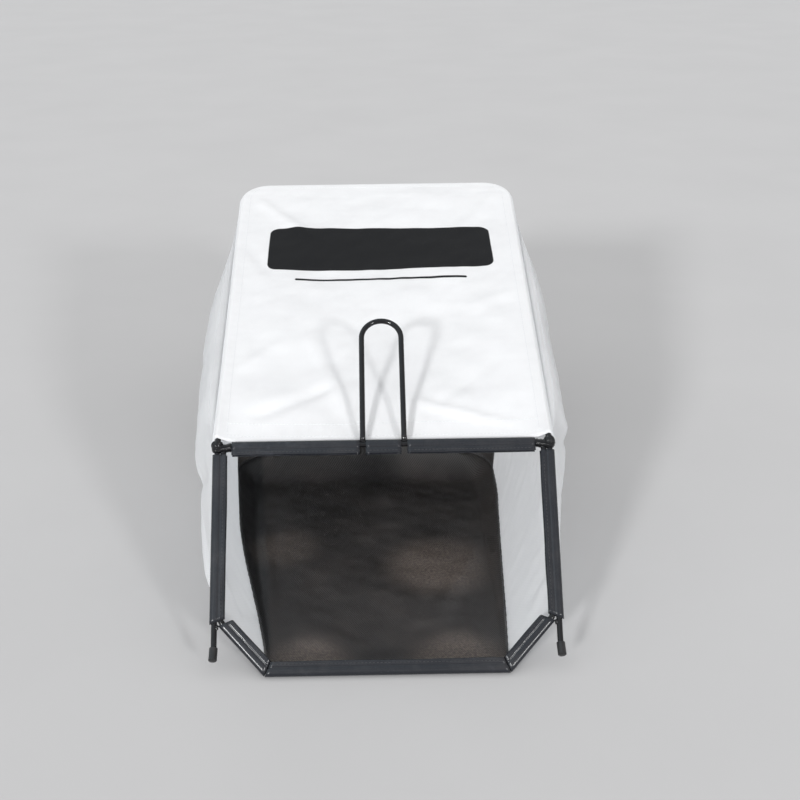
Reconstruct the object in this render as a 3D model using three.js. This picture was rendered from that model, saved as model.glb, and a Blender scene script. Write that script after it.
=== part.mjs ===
import * as THREE from 'three';
import { mergeVertices } from 'three/addons/utils/BufferGeometryUtils.js';

// A rear grass catcher: a sewn bag on a bent steel rod frame, with vinyl channels round its mouth.
// Millimetres. +X is right, +Y runs from the mouth to the rear, +Z is up, and the bag stands on z = 0.
// While its pieces are made, y = 0 is at the bottom bar; the finished part's origin is at the middle
// of its floor.

// Clearances
const touchGap = 0.3; // between two pieces that touch
const channelGap = 1.2; // between the cut ends of neighbouring channels
const footClearance = 1.0; // between the lower corner channel and the leg that passes it

// Steel rod frame
const rodDiameter = 6.5;
const mouthWidth = 380; // between the centres of the two legs
const mouthHeight = 252; // top bar to bottom bar, along the leaning mouth
const mouthLean = 40; // degrees from upright
const cornerCutAcross = 51; // lower corners of the mouth, cut off slantwise
const cornerCutUp = 55;
const mouthBendRadius = 10;
const footRise = 28; // bend of the foot above the bottom bar, along the leg
const footLength = 16;
const footAngle = 25; // degrees, bent forward
const footBendRadius = 12;
const railLength = 585; // top bar to rear bar
const railRise = 15; // degrees
const railBendRadius = 22;
const rearWidth = 402; // between the rail centres at the rear bar
const rearBendRadius = 38;

// Handle
const handleSpacing = 47.5; // between the centres of its legs
const handleLength = 168;
const handleAngle = 37; // degrees above level

// Vinyl caps and channels
const capWall = 1.2;
const capLength = 14;
const channelWall = 1.7;
const channelWidth = 16.5; // across the mouth's plane

// Bag
const fabricThickness = 1.2;
const pipingDiameter = 3.6;
const seamAngle = 115; // degrees round the rail from its top, where the piping lies
const sideBulge = 34; // the bag's wall stands out most a quarter of the way down from its upper seam
const rearBulge = 10;
const topSag = 5;
const floorLength = 470;
const floorRearWidth = 372;
const floorCornerRadius = 48;
const floorLift = 22; // height of the floor's edge at the rear
const floorMargin = 26; // width of the part of the floor that slopes up to that edge

// Fineness
const rodSides = 10;
const pipingSides = 6;
const bendStep = 14; // degrees of bend to each step of a rod
const railSteps = 12;
const cornerSteps = 6;
const rearSteps = 6;
const rollSteps = 4;
const topColumns = 10;
const sideRows = 8;
const cutRows = 3;
const weldDistance = 1e-4;

const degrees = Math.PI / 180;
const rodRadius = rodDiameter / 2;
const pipingRadius = pipingDiameter / 2;
const channelRadius = rodRadius + touchGap + channelWall;
const legHalf = mouthWidth / 2;
const legLength = mouthHeight - footRise; // top bar to the bend of the foot
const loopHalf = legHalf - rodDiameter - touchGap;
const seamClearance = pipingRadius + touchGap;
const edgeBack = channelRadius + touchGap + fabricThickness / 2;

const lean = mouthLean * degrees;
const rise = railRise * degrees;
const down = new THREE.Vector3(0, -Math.sin(lean), -Math.cos(lean));
const back = new THREE.Vector3(0, Math.cos(lean), -Math.sin(lean));
const across = new THREE.Vector3(1, 0, 0);
const railAlong = new THREE.Vector3(0, Math.cos(rise), Math.sin(rise));
const railUp = new THREE.Vector3(0, -Math.sin(rise), Math.cos(rise));
const bottomBarHeight = channelRadius + touchGap;
const topBar = new THREE.Vector3(0, 0, bottomBarHeight).addScaledVector(down, -mouthHeight);

// A point of the mouth's plane: x across, v down from the top bar, b behind the plane.
function onMouth(x, v, b = 0) {
  return topBar.clone().addScaledVector(across, x).addScaledVector(down, v).addScaledVector(back, b);
}

// A point of the plane of the rails: x across, q along from the top bar, h above the plane.
function onRails(x, q, h = 0) {
  return topBar.clone().addScaledVector(across, x).addScaledVector(railAlong, q).addScaledVector(railUp, h);
}

// The distance from the bottom bar, along Y, of a point at height z that lies b behind the mouth.
function behindMouth(z, b) {
  return (b + (z - bottomBarHeight) * Math.sin(lean)) / Math.cos(lean);
}

function smooth(t) {
  const s = THREE.MathUtils.clamp(t, 0, 1);
  return s * s * (3 - 2 * s);
}

// A line of straight stretches through given points, sampled exactly at those points.
class PointLine extends THREE.Curve {
  constructor(points, closed = false) {
    super();
    this.points = points;
    this.spans = closed ? points.length : points.length - 1;
  }

  getPoint(t, target = new THREE.Vector3()) {
    const at = THREE.MathUtils.clamp(t, 0, 1) * this.spans;
    const i = Math.min(Math.floor(at), this.spans - 1);
    return target.lerpVectors(this.points[i], this.points[(i + 1) % this.points.length], at - i);
  }

  getUtoTmapping(u) {
    return u;
  }
}

// The points of a bend at a corner: an arc that is tangent to both straight stretches.
function bendPoints(before, corner, after, radius) {
  const inward = corner.clone().sub(before).normalize();
  const outward = after.clone().sub(corner).normalize();
  const turn = inward.angleTo(outward);
  const side = outward.clone().addScaledVector(inward, -Math.cos(turn)).normalize();
  const start = corner.clone().addScaledVector(inward, -radius * Math.tan(turn / 2));
  const steps = Math.max(2, Math.ceil(turn / (bendStep * degrees)));
  const points = [];
  for (let k = 0; k <= steps; k += 1) {
    const angle = (turn * k) / steps;
    const point = start.clone().addScaledVector(inward, radius * Math.sin(angle));
    points.push(point.addScaledVector(side, radius * (1 - Math.cos(angle))));
  }
  return points;
}

// A bent rod's centre line: ends and corners, with a bend radius for each corner between the ends.
function bentLine(corners, radii) {
  const points = [corners[0]];
  for (let i = 1; i + 1 < corners.length; i += 1)
    points.push(...bendPoints(corners[i - 1], corners[i], corners[i + 1], radii[i - 1]));
  points.push(corners[corners.length - 1]);
  return points;
}

function roundShape(radius, sides) {
  const points = [];
  for (let k = 0; k < sides; k += 1) {
    const angle = (2 * Math.PI * k) / sides;
    points.push(new THREE.Vector2(radius * Math.cos(angle), radius * Math.sin(angle)));
  }
  return new THREE.Shape(points);
}

function tubeAlong(points, radius, sides) {
  return new THREE.ExtrudeGeometry(roundShape(radius, sides), {
    steps: points.length - 1,
    extrudePath: new PointLine(points),
    bevelEnabled: false,
  });
}

// Makes one closed solid of even thickness from the middle surface that the grids describe.
function sheetSolid(grids, thickness = fabricThickness) {
  const soup = [];
  for (const rows of grids)
    for (let i = 0; i + 1 < rows.length; i += 1)
      for (let j = 0; j + 1 < rows[i].length; j += 1) {
        const [a, b] = [rows[i][j], rows[i][j + 1]];
        const [d, c] = [rows[i + 1][j], rows[i + 1][j + 1]];
        for (const p of [a, b, c, a, c, d]) soup.push(p.x, p.y, p.z);
      }
  const loose = new THREE.BufferGeometry();
  loose.setAttribute('position', new THREE.Float32BufferAttribute(soup, 3));
  const middle = mergeVertices(loose, weldDistance);
  middle.computeVertexNormals();
  return thickened(middle, thickness);
}

// Offsets a merged surface to both sides and walls up its open edges.
function thickened(middle, thickness) {
  const place = middle.getAttribute('position');
  const normal = middle.getAttribute('normal');
  const count = place.count;
  const points = [];
  for (const offset of [thickness / 2, -thickness / 2])
    for (let i = 0; i < count; i += 1) {
      const n = new THREE.Vector3().fromBufferAttribute(normal, i);
      const p = new THREE.Vector3().fromBufferAttribute(place, i).addScaledVector(n, offset);
      points.push(p.x, p.y, p.z);
    }
  const index = Array.from(middle.getIndex().array);
  const faces = [];
  const edges = new Set();
  for (let i = 0; i < index.length; i += 3) {
    const [a, b, c] = index.slice(i, i + 3);
    faces.push(a, b, c, count + a, count + c, count + b);
    for (const edge of [`${a},${b}`, `${b},${c}`, `${c},${a}`]) edges.add(edge);
  }
  for (const edge of edges) {
    const [a, b] = edge.split(',').map(Number);
    if (!edges.has(`${b},${a}`)) faces.push(b, a, count + a, b, count + a, count + b);
  }
  const solid = new THREE.BufferGeometry();
  solid.setAttribute('position', new THREE.Float32BufferAttribute(points, 3));
  solid.setIndex(faces);
  return solid;
}

// Half of a U-shaped rim in a plane: a straight side from start to corner, and a round corner
// to the bar across the rear. Each place has its point and the direction that leads outward.
function halfRim(start, corner, radius) {
  const along = corner.clone().sub(start).normalize();
  const inward = new THREE.Vector2(-along.y, along.x);
  const turn = Math.acos(-along.x);
  const tangent = radius * Math.tan(turn / 2);
  const bendStart = corner.clone().addScaledVector(along, -tangent);
  const places = [];
  for (let i = 0; i < railSteps; i += 1) {
    const share = i / railSteps;
    places.push({ at: start.clone().lerp(bendStart, share), out: inward.clone().negate(), share });
  }
  for (let k = 0; k <= cornerSteps; k += 1) {
    const angle = (turn * k) / cornerSteps;
    const at = bendStart.clone().addScaledVector(along, radius * Math.sin(angle));
    at.addScaledVector(inward, radius * (1 - Math.cos(angle)));
    const out = along.clone().multiplyScalar(Math.sin(angle)).addScaledVector(inward, -Math.cos(angle));
    places.push({ at, out, share: 1 });
  }
  return places;
}

// The whole rim, from the right end of the mouth round the rear to the left end.
function wholeRim(half) {
  const mirrored = (p) => ({
    at: new THREE.Vector2(-p.at.x, p.at.y),
    out: new THREE.Vector2(-p.out.x, p.out.y),
    share: p.share,
  });
  const last = half[half.length - 1];
  const rear = [];
  for (let k = 1; k < rearSteps; k += 1) {
    const x = last.at.x * (1 - (2 * k) / rearSteps);
    rear.push({ at: new THREE.Vector2(x, last.at.y), out: new THREE.Vector2(0, 1), share: 1 });
  }
  return [...half, ...rear, ...half.map(mirrored).reverse()];
}

const railStart = edgeBack / Math.cos(lean + rise);
const railHalfAt = (q) => legHalf + ((rearWidth / 2 - legHalf) * q) / railLength;
const railRim = halfRim(
  new THREE.Vector2(railHalfAt(railStart), railStart),
  new THREE.Vector2(rearWidth / 2, railLength),
  rearBendRadius
);
const floorStart = new THREE.Vector2(loopHalf - cornerCutAcross, behindMouth(pipingRadius, edgeBack + pipingRadius));
const floorRim = halfRim(
  floorStart,
  new THREE.Vector2(floorRearWidth / 2, floorLength),
  floorCornerRadius
);
const seamPlace = railSteps; // the seam of side and rear panel lies where the corner starts
const cornerMiddle = railSteps + cornerSteps / 2;

// The centre line of the piping along the rails.
function railSeamPoint(place) {
  const reach = rodRadius + touchGap + pipingRadius;
  const side = reach * Math.sin(seamAngle * degrees);
  const { at, out } = place;
  return onRails(at.x + out.x * side, at.y + out.y * side, reach * Math.cos(seamAngle * degrees));
}

function floorEdgeHeight(share) {
  return pipingRadius + floorLift * smooth(share);
}

// The centre line of the piping round the floor.
function floorSeamPoint(place) {
  return new THREE.Vector3(place.at.x, place.at.y, floorEdgeHeight(place.share));
}

const railWhole = wholeRim(railRim);
const floorWhole = wholeRim(floorRim);
const railSeam = railWhole.map(railSeamPoint);
const floorSeam = floorWhole.map(floorSeamPoint);

// The front edge of a side panel, behind the side channel and then the corner channel.
function frontEdge(sign) {
  const cutSlope = cornerCutUp / cornerCutAcross;
  const cutStart = mouthHeight - cornerCutUp - (legHalf - loopHalf) * cutSlope;
  const first = sign > 0 ? railSeam[0] : railSeam[railSeam.length - 1];
  const last = sign > 0 ? floorSeam[0] : floorSeam[floorSeam.length - 1];
  return [
    first,
    onMouth(sign * legHalf, mouthBendRadius, edgeBack),
    onMouth(sign * legHalf, cutStart, edgeBack),
    last,
  ];
}

// Places at even steps along the front edge: sideRows steps to the slanting cut and cutRows after it.
function frontPoints(sign) {
  const [top, side, cut, bottom] = frontEdge(sign);
  const points = [top];
  for (let j = 1; j < sideRows; j += 1) points.push(side.clone().lerp(cut, (j - 1) / (sideRows - 1)));
  for (let j = 0; j <= cutRows; j += 1) points.push(cut.clone().lerp(bottom, j / cutRows));
  return points;
}

// How far down its chord each row of the bag's wall lies, from 0 at the rails to 1 at the floor.
function rowShares() {
  const points = frontPoints(1);
  const lengths = [0];
  for (let j = 1; j < points.length; j += 1)
    lengths.push(lengths[j - 1] + points[j].distanceTo(points[j - 1]));
  return lengths.map((length) => length / lengths[lengths.length - 1]);
}

const shares = rowShares();

// One column of the bag's wall, from the rail seam down to the floor seam.
function wallColumn(k) {
  const last = railWhole.length - 1;
  const fromMouth = Math.min(k, last - k) / cornerMiddle;
  const sign = k * 2 < last ? 1 : -1;
  const front = frontPoints(sign);
  const { out } = railWhole[k];
  const outward = new THREE.Vector3(out.x, out.y, 0);
  const rounded = Math.sin((Math.PI / 2) * Math.min(1, 3 * fromMouth));
  const bulge = THREE.MathUtils.lerp(sideBulge, rearBulge, smooth(2 * fromMouth - 0.6)) * rounded;
  return shares.map((share, j) => {
    const point = railSeam[k].clone().lerp(floorSeam[k], share);
    const chord = front[0].clone().lerp(front[front.length - 1], share);
    const cut = front[j].clone().sub(chord);
    point.addScaledVector(cut, Math.max(0, 1 - fromMouth));
    return point.addScaledVector(outward, bulge * Math.sin(Math.PI * Math.sqrt(share)));
  });
}

const columns = railWhole.map((place, k) => wallColumn(k));

// Moves a point of a seam towards a neighbour, until it lies a distance clear of the seam's line.
function drawnBack(point, neighbour, seam, distance) {
  const away = neighbour.clone().sub(point).normalize();
  const sine = away.clone().cross(seam.clone().normalize()).length();
  return point.clone().addScaledVector(away, distance / sine);
}

// The direction in which a line of points runs at one of them.
function runAt(points, i) {
  const after = points[Math.min(i + 1, points.length - 1)];
  return after.clone().sub(points[Math.max(i - 1, 0)]);
}

// A column with both ends drawn back from the piping along the rails and round the floor.
function trimmedColumn(column, k, distance) {
  const n = column.length - 1;
  const top = drawnBack(column[0], column[1], runAt(railSeam, k), distance);
  const bottom = drawnBack(column[n], column[n - 1], runAt(floorSeam, k), distance);
  return [top, ...column.slice(1, n), bottom];
}

// The part of the bag's wall between two columns; a cut edge is drawn back from its piping.
function wallPanel(from, to, cutFrom, cutTo) {
  const drawn = (k, neighbour) =>
    columns[k].map((point, j) =>
      drawnBack(point, columns[neighbour][j], runAt(columns[k], j), seamClearance)
    );
  const parts = [];
  for (let k = from; k <= to; k += 1) {
    let column = columns[k];
    if (k === from && cutFrom) column = drawn(k, k + 1);
    if (k === to && cutTo) column = drawn(k, k - 1);
    // The edge runs straight from column to column and cuts across a little, so it lies further back.
    parts.push(trimmedColumn(column, k, seamClearance + touchGap / 2));
  }
  return sheetSolid([parts]);
}

function sidePanelRight() {
  return wallPanel(0, seamPlace, false, true);
}

function rearPanel() {
  return wallPanel(seamPlace, columns.length - 1 - seamPlace, true, true);
}

function sidePanelLeft() {
  return wallPanel(columns.length - 1 - seamPlace, columns.length - 1, true, false);
}

// The points where the top panel rolls over a rail, from its top out and down to the piping.
function rolledPoints(place) {
  const radius = rodRadius + touchGap + fabricThickness / 2;
  const reach = rodRadius + touchGap + pipingRadius;
  const cosine = (radius ** 2 + reach ** 2 - seamClearance ** 2) / (2 * radius * reach);
  const end = seamAngle * degrees - Math.acos(THREE.MathUtils.clamp(cosine, -1, 1));
  const points = [];
  for (let k = 0; k <= rollSteps; k += 1) {
    const angle = (end * k) / rollSteps;
    const side = radius * Math.sin(angle);
    const x = place.at.x + place.out.x * side;
    points.push(onRails(x, place.at.y + place.out.y * side, radius * Math.cos(angle)));
  }
  return points;
}

// The stretch of a top panel's row between the two rails. Near the mouth it dips behind the top bar,
// under the handle's legs, and further back it sags a little.
function topRow(left, right, q) {
  const frontPoint = onMouth(0, fabricThickness / 2 + touchGap - rodRadius, edgeBack);
  const dip = frontPoint.clone().sub(onRails(0, railStart, rodRadius + touchGap + fabricThickness / 2));
  const fade = 1 - smooth((q - railStart) / (handleLength / 2));
  const sag = topSag * Math.sin((Math.PI * q) / railLength);
  const row = [];
  for (let j = 1; j < topColumns; j += 1) {
    const c = (2 * j) / topColumns - 1;
    const point = left.clone().lerp(right, j / topColumns);
    point.addScaledVector(dip, fade * (1 - Math.abs(c) ** topColumns));
    row.push(point.addScaledVector(railUp, -sag * (1 - c * c)));
  }
  return row;
}

function topPanel() {
  const half = railRim.map(rolledPoints);
  const last = railWhole.length - 1;
  const other = railRim.map((place, i) => rolledPoints(railWhole[last - i]));
  const rows = railRim.map((place, i) => {
    const middle = topRow(other[i][0], half[i][0], place.at.y);
    return [...other[i].slice().reverse(), ...middle, ...half[i]];
  });
  const end = railRim.length - 1;
  const rearLine = rows[end].slice(rollSteps, rollSteps + topColumns + 1);
  for (let j = 1; j < topColumns; j += 1)
    rearLine[j].copy(rearLine[0].clone().lerp(rearLine[topColumns], j / topColumns));
  const flap = rearLine.map((point, j) => {
    if (j === 0) return other[end];
    if (j === topColumns) return half[end];
    const place = { at: new THREE.Vector2(point.x, railRim[end].at.y), out: railRim[end].out };
    return [point, ...rolledPoints(place).slice(1)];
  });
  const drop = flap[0].map((point, k) => flap.map((line) => line[k]));
  return sheetSolid([rows, drop]);
}

// The floor: flat between two folds, then sloping up to its edges at the sides and the rear.
function floorPanel() {
  const level = fabricThickness / 2;
  const inset = seamClearance + touchGap;
  const bendStart = floorRim[railSteps].at.y;
  const widening = (floorRim[1].at.x - floorRim[0].at.x) / (floorRim[1].at.y - floorRim[0].at.y);
  const rows = floorRim.map((place, i) => {
    const edge = floorSeamPoint(place);
    const shift = i === 0 ? behindMouth(edge.z, edgeBack) - edge.y : -place.out.y * inset;
    const half = edge.x - place.out.x * inset + (i === 0 ? shift * widening : 0);
    const y = edge.y + shift;
    const rearShare = Math.max(0, (edge.y - bendStart) / floorCornerRadius);
    const inner = THREE.MathUtils.lerp(level, edge.z, rearShare ** 2);
    const fold = half - seamClearance - floorMargin * place.share;
    const halfRow = [
      new THREE.Vector3(half, y, edge.z),
      new THREE.Vector3(fold, y, inner),
      new THREE.Vector3(fold / 2, y, inner),
    ];
    const centre = new THREE.Vector3(0, y, inner);
    if (i === 0) for (const p of [...halfRow, centre]) p.y = behindMouth(p.z, edgeBack);
    const mirrored = halfRow.map((p) => new THREE.Vector3(-p.x, p.y, p.z));
    return [...mirrored, centre, ...halfRow.reverse()];
  });
  return sheetSolid([rows]);
}

function topPiping() {
  return tubeAlong(railSeam, pipingRadius, pipingSides);
}

function floorPiping() {
  return tubeAlong(floorSeam, pipingRadius, pipingSides);
}

// The piping down a rear corner, between the piping along the rails and the piping round the floor.
function rearPiping(k) {
  const column = trimmedColumn(columns[k], k, seamClearance + pipingRadius);
  return tubeAlong(column, pipingRadius, pipingSides);
}

// The closed rod round the mouth, from the middle of the bottom bar.
function mouthLoop() {
  const low = loopHalf - cornerCutAcross;
  const corners = [
    onMouth(low, mouthHeight),
    onMouth(loopHalf, mouthHeight - cornerCutUp),
    onMouth(loopHalf, 0),
    onMouth(-loopHalf, 0),
    onMouth(-loopHalf, mouthHeight - cornerCutUp),
    onMouth(-low, mouthHeight),
  ];
  const start = onMouth(0, mouthHeight);
  const radii = corners.map(() => mouthBendRadius);
  const points = bentLine([start, ...corners, start], radii).slice(0, -1);
  return new THREE.TubeGeometry(new PointLine(points, true), points.length, rodRadius, rodSides, true);
}

function footTip(sign) {
  const angle = footAngle * degrees;
  const ahead = footLength * Math.sin(angle);
  return onMouth(sign * legHalf, legLength + footLength * Math.cos(angle), -ahead);
}

// The long rod: up one leg, back along a rail, across the rear and back the same way.
function outerHoop() {
  const half = (sign) => {
    const corners = [
      footTip(sign),
      onMouth(sign * legHalf, legLength),
      onMouth(sign * legHalf, 0),
      onRails((sign * rearWidth) / 2, railLength),
    ];
    const front = bentLine(corners, [footBendRadius, railBendRadius]).slice(0, -1);
    const rear = railRim.slice(railSteps).map(({ at }) => onRails(sign * at.x, at.y));
    return [...front, ...rear];
  };
  return tubeAlong([...half(1), ...half(-1).reverse()], rodRadius, rodSides);
}

// The carrying handle: two legs from the top bar and a half circle between them.
function handleLoop() {
  const angle = handleAngle * degrees;
  const along = new THREE.Vector3(0, Math.cos(angle), Math.sin(angle));
  const radius = handleSpacing / 2;
  const onHandle = (x, s) => topBar.clone().addScaledVector(across, x).addScaledVector(along, s);
  const legEnd = handleLength - radius - rodRadius;
  const points = [onHandle(radius, rodRadius + touchGap)];
  const steps = Math.ceil(180 / bendStep);
  for (let k = 0; k <= steps; k += 1) {
    const turn = (Math.PI * k) / steps;
    points.push(onHandle(radius * Math.cos(turn), legEnd + radius * Math.sin(turn)));
  }
  points.push(onHandle(-radius, rodRadius + touchGap));
  return tubeAlong(points, rodRadius, rodSides);
}

// A soft cap on a foot: open at one end, domed at the other.
function footCap() {
  const inner = rodRadius + touchGap;
  const outer = inner + capWall;
  const tip = touchGap;
  const dome = tip + capWall;
  const profile = [
    new THREE.Vector2(0, dome),
    new THREE.Vector2(outer * Math.sin(Math.PI / 6), dome - capWall * (1 - Math.cos(Math.PI / 6))),
    new THREE.Vector2(outer * Math.sin(Math.PI / 3), dome - capWall * (1 - Math.cos(Math.PI / 3))),
    new THREE.Vector2(outer, dome - capWall),
    new THREE.Vector2(outer, tip - capLength),
    new THREE.Vector2(inner, tip - capLength),
    new THREE.Vector2(inner, tip),
    new THREE.Vector2(0, tip),
  ];
  return new THREE.LatheGeometry(profile.reverse(), 2 * rodSides);
}

function placeOnFoot(mesh, sign) {
  const tip = footTip(sign);
  const along = tip.clone().sub(onMouth(sign * legHalf, legLength)).normalize();
  mesh.position.copy(tip);
  mesh.quaternion.setFromUnitVectors(new THREE.Vector3(0, 1, 0), along);
}

// The section of a channel: a round end over the rod, and two flat lips towards the mouth's middle.
function channelShape() {
  const lip = channelWidth - channelRadius;
  const inner = channelRadius - channelWall;
  const shape = new THREE.Shape();
  shape.moveTo(lip, channelRadius);
  shape.absarc(0, 0, channelRadius, Math.PI / 2, (3 * Math.PI) / 2, false);
  shape.lineTo(lip, -channelRadius);
  shape.lineTo(lip, -inner);
  shape.absarc(0, 0, inner, (3 * Math.PI) / 2, Math.PI / 2, true);
  shape.lineTo(lip, inner);
  shape.closePath();
  return shape;
}

// A channel from one place of the mouth to another, with its round end to the left of its run
// as the mouth is seen from the front, and each end cut at a slope to its axis.
function channel(start, end, startSlope, endSlope) {
  const from = onMouth(start.x, start.y);
  const to = onMouth(end.x, end.y);
  const length = from.distanceTo(to);
  const geometry = new THREE.ExtrudeGeometry(channelShape(), {
    depth: length,
    steps: 1,
    curveSegments: 8,
    bevelEnabled: false,
  });
  const place = geometry.getAttribute('position');
  for (let i = 0; i < place.count; i += 1) {
    const z = place.getZ(i);
    const inward = place.getX(i);
    place.setZ(i, z + inward * (z > length / 2 ? -endSlope : startSlope));
  }
  const run = to.clone().sub(from).normalize();
  const inwardAxis = new THREE.Vector3().crossVectors(back, run).normalize();
  const frame = new THREE.Matrix4().makeBasis(inwardAxis, run.clone().cross(inwardAxis), run);
  geometry.applyMatrix4(frame.setPosition(from));
  return geometry;
}

const cutTurn = Math.atan2(cornerCutAcross, cornerCutUp);
const upperMitre = Math.tan(cutTurn / 2);
const lowerMitre = Math.tan((Math.PI / 2 - cutTurn) / 2);
const cutUnit = new THREE.Vector2(-Math.sin(cutTurn), Math.cos(cutTurn));
const upperVertex = new THREE.Vector2(loopHalf, mouthHeight - cornerCutUp);
const lowerVertex = new THREE.Vector2(loopHalf - cornerCutAcross, mouthHeight);
const mirror = (place) => new THREE.Vector2(-place.x, place.y);

function topChannel(sign) {
  const inner = handleSpacing / 2 + rodRadius + touchGap;
  const outer = loopHalf - mouthBendRadius;
  return sign > 0
    ? channel(new THREE.Vector2(inner, 0), new THREE.Vector2(outer, 0), 0, 0)
    : channel(new THREE.Vector2(-outer, 0), new THREE.Vector2(-inner, 0), 0, 0);
}

// The short channel between the handle's legs.
function topChannelMiddle() {
  const half = handleSpacing / 2 - rodRadius - touchGap;
  return channel(new THREE.Vector2(-half, 0), new THREE.Vector2(half, 0), 0, 0);
}

function sideChannel(sign) {
  const beyond = (legHalf - loopHalf) * upperMitre - channelGap;
  const top = new THREE.Vector2(legHalf, mouthBendRadius);
  const bottom = new THREE.Vector2(legHalf, upperVertex.y + beyond);
  return sign > 0 ? channel(top, bottom, 0, upperMitre) : channel(mirror(bottom), mirror(top), upperMitre, 0);
}

// The corner channel starts where its outer side is clear of the leg that runs on past it.
function cornerChannel(sign) {
  const overlap = loopHalf + channelRadius * Math.cos(cutTurn) - (legHalf - rodRadius);
  const clear = (overlap + footClearance) / Math.sin(cutTurn) + channelRadius * upperMitre;
  const start = upperVertex.clone().addScaledVector(cutUnit, Math.max(channelGap, clear));
  const end = lowerVertex.clone().addScaledVector(cutUnit, -channelGap / 2);
  return sign > 0
    ? channel(start, end, upperMitre, lowerMitre)
    : channel(mirror(end), mirror(start), lowerMitre, upperMitre);
}

function bottomChannel() {
  const half = lowerVertex.x - channelGap / 2;
  const right = new THREE.Vector2(half, mouthHeight);
  return channel(right, mirror(right), lowerMitre, lowerMitre);
}

const finishes = {
  steel: { color: 0x26232a, roughness: 0.35, metalness: 0.6 },
  vinyl: { color: 0x34343a, roughness: 0.4, metalness: 0 },
  whiteFabric: { color: 0xeef0f3, roughness: 0.8, metalness: 0 },
  blackFabric: { color: 0x2b2a2a, roughness: 0.6, metalness: 0 },
  trim: { color: 0xdfe2e6, roughness: 0.7, metalness: 0 },
};

function part(name, geometry, finish) {
  const mesh = new THREE.Mesh(geometry, new THREE.MeshStandardMaterial(finishes[finish]));
  mesh.name = name;
  return mesh;
}

const catcher = new THREE.Group();
catcher.position.y = -floorLength / 2;

const frame = new THREE.Group();
frame.add(part('mouth_loop', mouthLoop(), 'steel'));
frame.add(part('outer_hoop', outerHoop(), 'steel'));
frame.add(part('handle_loop', handleLoop(), 'steel'));
catcher.add(frame);

const bag = new THREE.Group();
bag.add(part('top_panel', topPanel(), 'whiteFabric'));
bag.add(part('side_panel_right', sidePanelRight(), 'whiteFabric'));
bag.add(part('side_panel_left', sidePanelLeft(), 'whiteFabric'));
bag.add(part('rear_panel', rearPanel(), 'blackFabric'));
bag.add(part('floor_panel', floorPanel(), 'blackFabric'));
bag.add(part('top_piping', topPiping(), 'trim'));
bag.add(part('floor_piping', floorPiping(), 'blackFabric'));
bag.add(part('rear_piping_right', rearPiping(seamPlace), 'blackFabric'));
bag.add(part('rear_piping_left', rearPiping(columns.length - 1 - seamPlace), 'blackFabric'));
bag.add(part('bottom_channel', bottomChannel(), 'vinyl'));
bag.add(part('top_channel_middle', topChannelMiddle(), 'vinyl'));
catcher.add(bag);

for (const [side, sign] of [['right', 1], ['left', -1]]) {
  const cap = part(`foot_cap_${side}`, footCap(), 'vinyl');
  placeOnFoot(cap, sign);
  frame.add(cap);
  bag.add(part(`top_channel_${side}`, topChannel(sign), 'vinyl'));
  bag.add(part(`side_channel_${side}`, sideChannel(sign), 'vinyl'));
  bag.add(part(`corner_channel_${side}`, cornerChannel(sign), 'vinyl'));
}

export default catcher;
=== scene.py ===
# %% [markdown]
# This file gives a mower's grass catcher its looks: a cloth bag on a frame of bent black rod. The
# CAD part comes in as a fixed frame, and its plain solids could simply be painted. Cloth, seams
# and soft vinyl need finer shapes, so each cell below makes one kind of piece in mesh code, or one
# finish, at the place of its CAD node. Lengths are in metres: +X is right, +Y runs from the mouth
# to the rear, and the bag stands on z = 0.

# %% Load the frame
import math
import bpy
import numpy as np
from mathutils import Matrix, Vector


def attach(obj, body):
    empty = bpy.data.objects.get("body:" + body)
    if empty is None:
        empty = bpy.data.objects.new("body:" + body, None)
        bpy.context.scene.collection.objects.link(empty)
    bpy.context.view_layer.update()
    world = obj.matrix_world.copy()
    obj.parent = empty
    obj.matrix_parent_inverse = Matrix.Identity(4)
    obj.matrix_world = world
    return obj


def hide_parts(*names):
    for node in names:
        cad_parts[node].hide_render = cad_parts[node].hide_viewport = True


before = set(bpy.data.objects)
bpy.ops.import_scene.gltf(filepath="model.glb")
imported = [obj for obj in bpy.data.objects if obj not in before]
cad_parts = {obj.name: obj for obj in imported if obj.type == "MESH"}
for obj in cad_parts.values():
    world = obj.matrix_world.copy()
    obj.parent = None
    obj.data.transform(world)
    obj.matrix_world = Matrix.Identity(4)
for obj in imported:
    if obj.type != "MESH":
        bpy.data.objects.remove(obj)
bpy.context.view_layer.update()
print("nodes:", len(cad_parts))

# %% [markdown]
# The real catcher is a 6.5 mm rod bent round a mouth 380 mm wide. Its sizes could be measured on
# the imported solids, but named values are easier to read and to change, so they stand here as
# they do in the CAD part. That way cloth and rods meet as they do there. Angles are in radians.

# %% Sizes
MM = 0.001
ROD = 3.25 * MM
PIPING = 1.8 * MM
CLOTH = 1.2 * MM
GAP = 0.3 * MM
WALL = 1.7 * MM
CHANNEL = ROD + GAP + WALL
LIP = 11.25 * MM
LEG_HALF = 190 * MM
LOOP_HALF = LEG_HALF - 2 * ROD - GAP
MOUTH_HEIGHT = 252 * MM
CUT_ACROSS = 51 * MM
CUT_UP = 55 * MM
LEG_LENGTH = 224 * MM
RAIL_LENGTH = 585 * MM
REAR_HALF = 201 * MM
REAR_RADIUS = 38 * MM
HANDLE_HALF = 23.75 * MM
HANDLE_LENGTH = 168 * MM
FLOOR_LENGTH = 470 * MM
FLOOR_REAR_HALF = 186 * MM
FLOOR_RADIUS = 48 * MM
FLOOR_LIFT = 22 * MM
FLOOR_MARGIN = 26 * MM
EDGE_BACK = CHANNEL + GAP + CLOTH / 2
LEAN = math.radians(40)
RISE = math.radians(15)
HANDLE_ANGLE = math.radians(37)
SEAM_ANGLE = math.radians(115)
FLOOR_SHIFT = -FLOOR_LENGTH / 2

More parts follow.
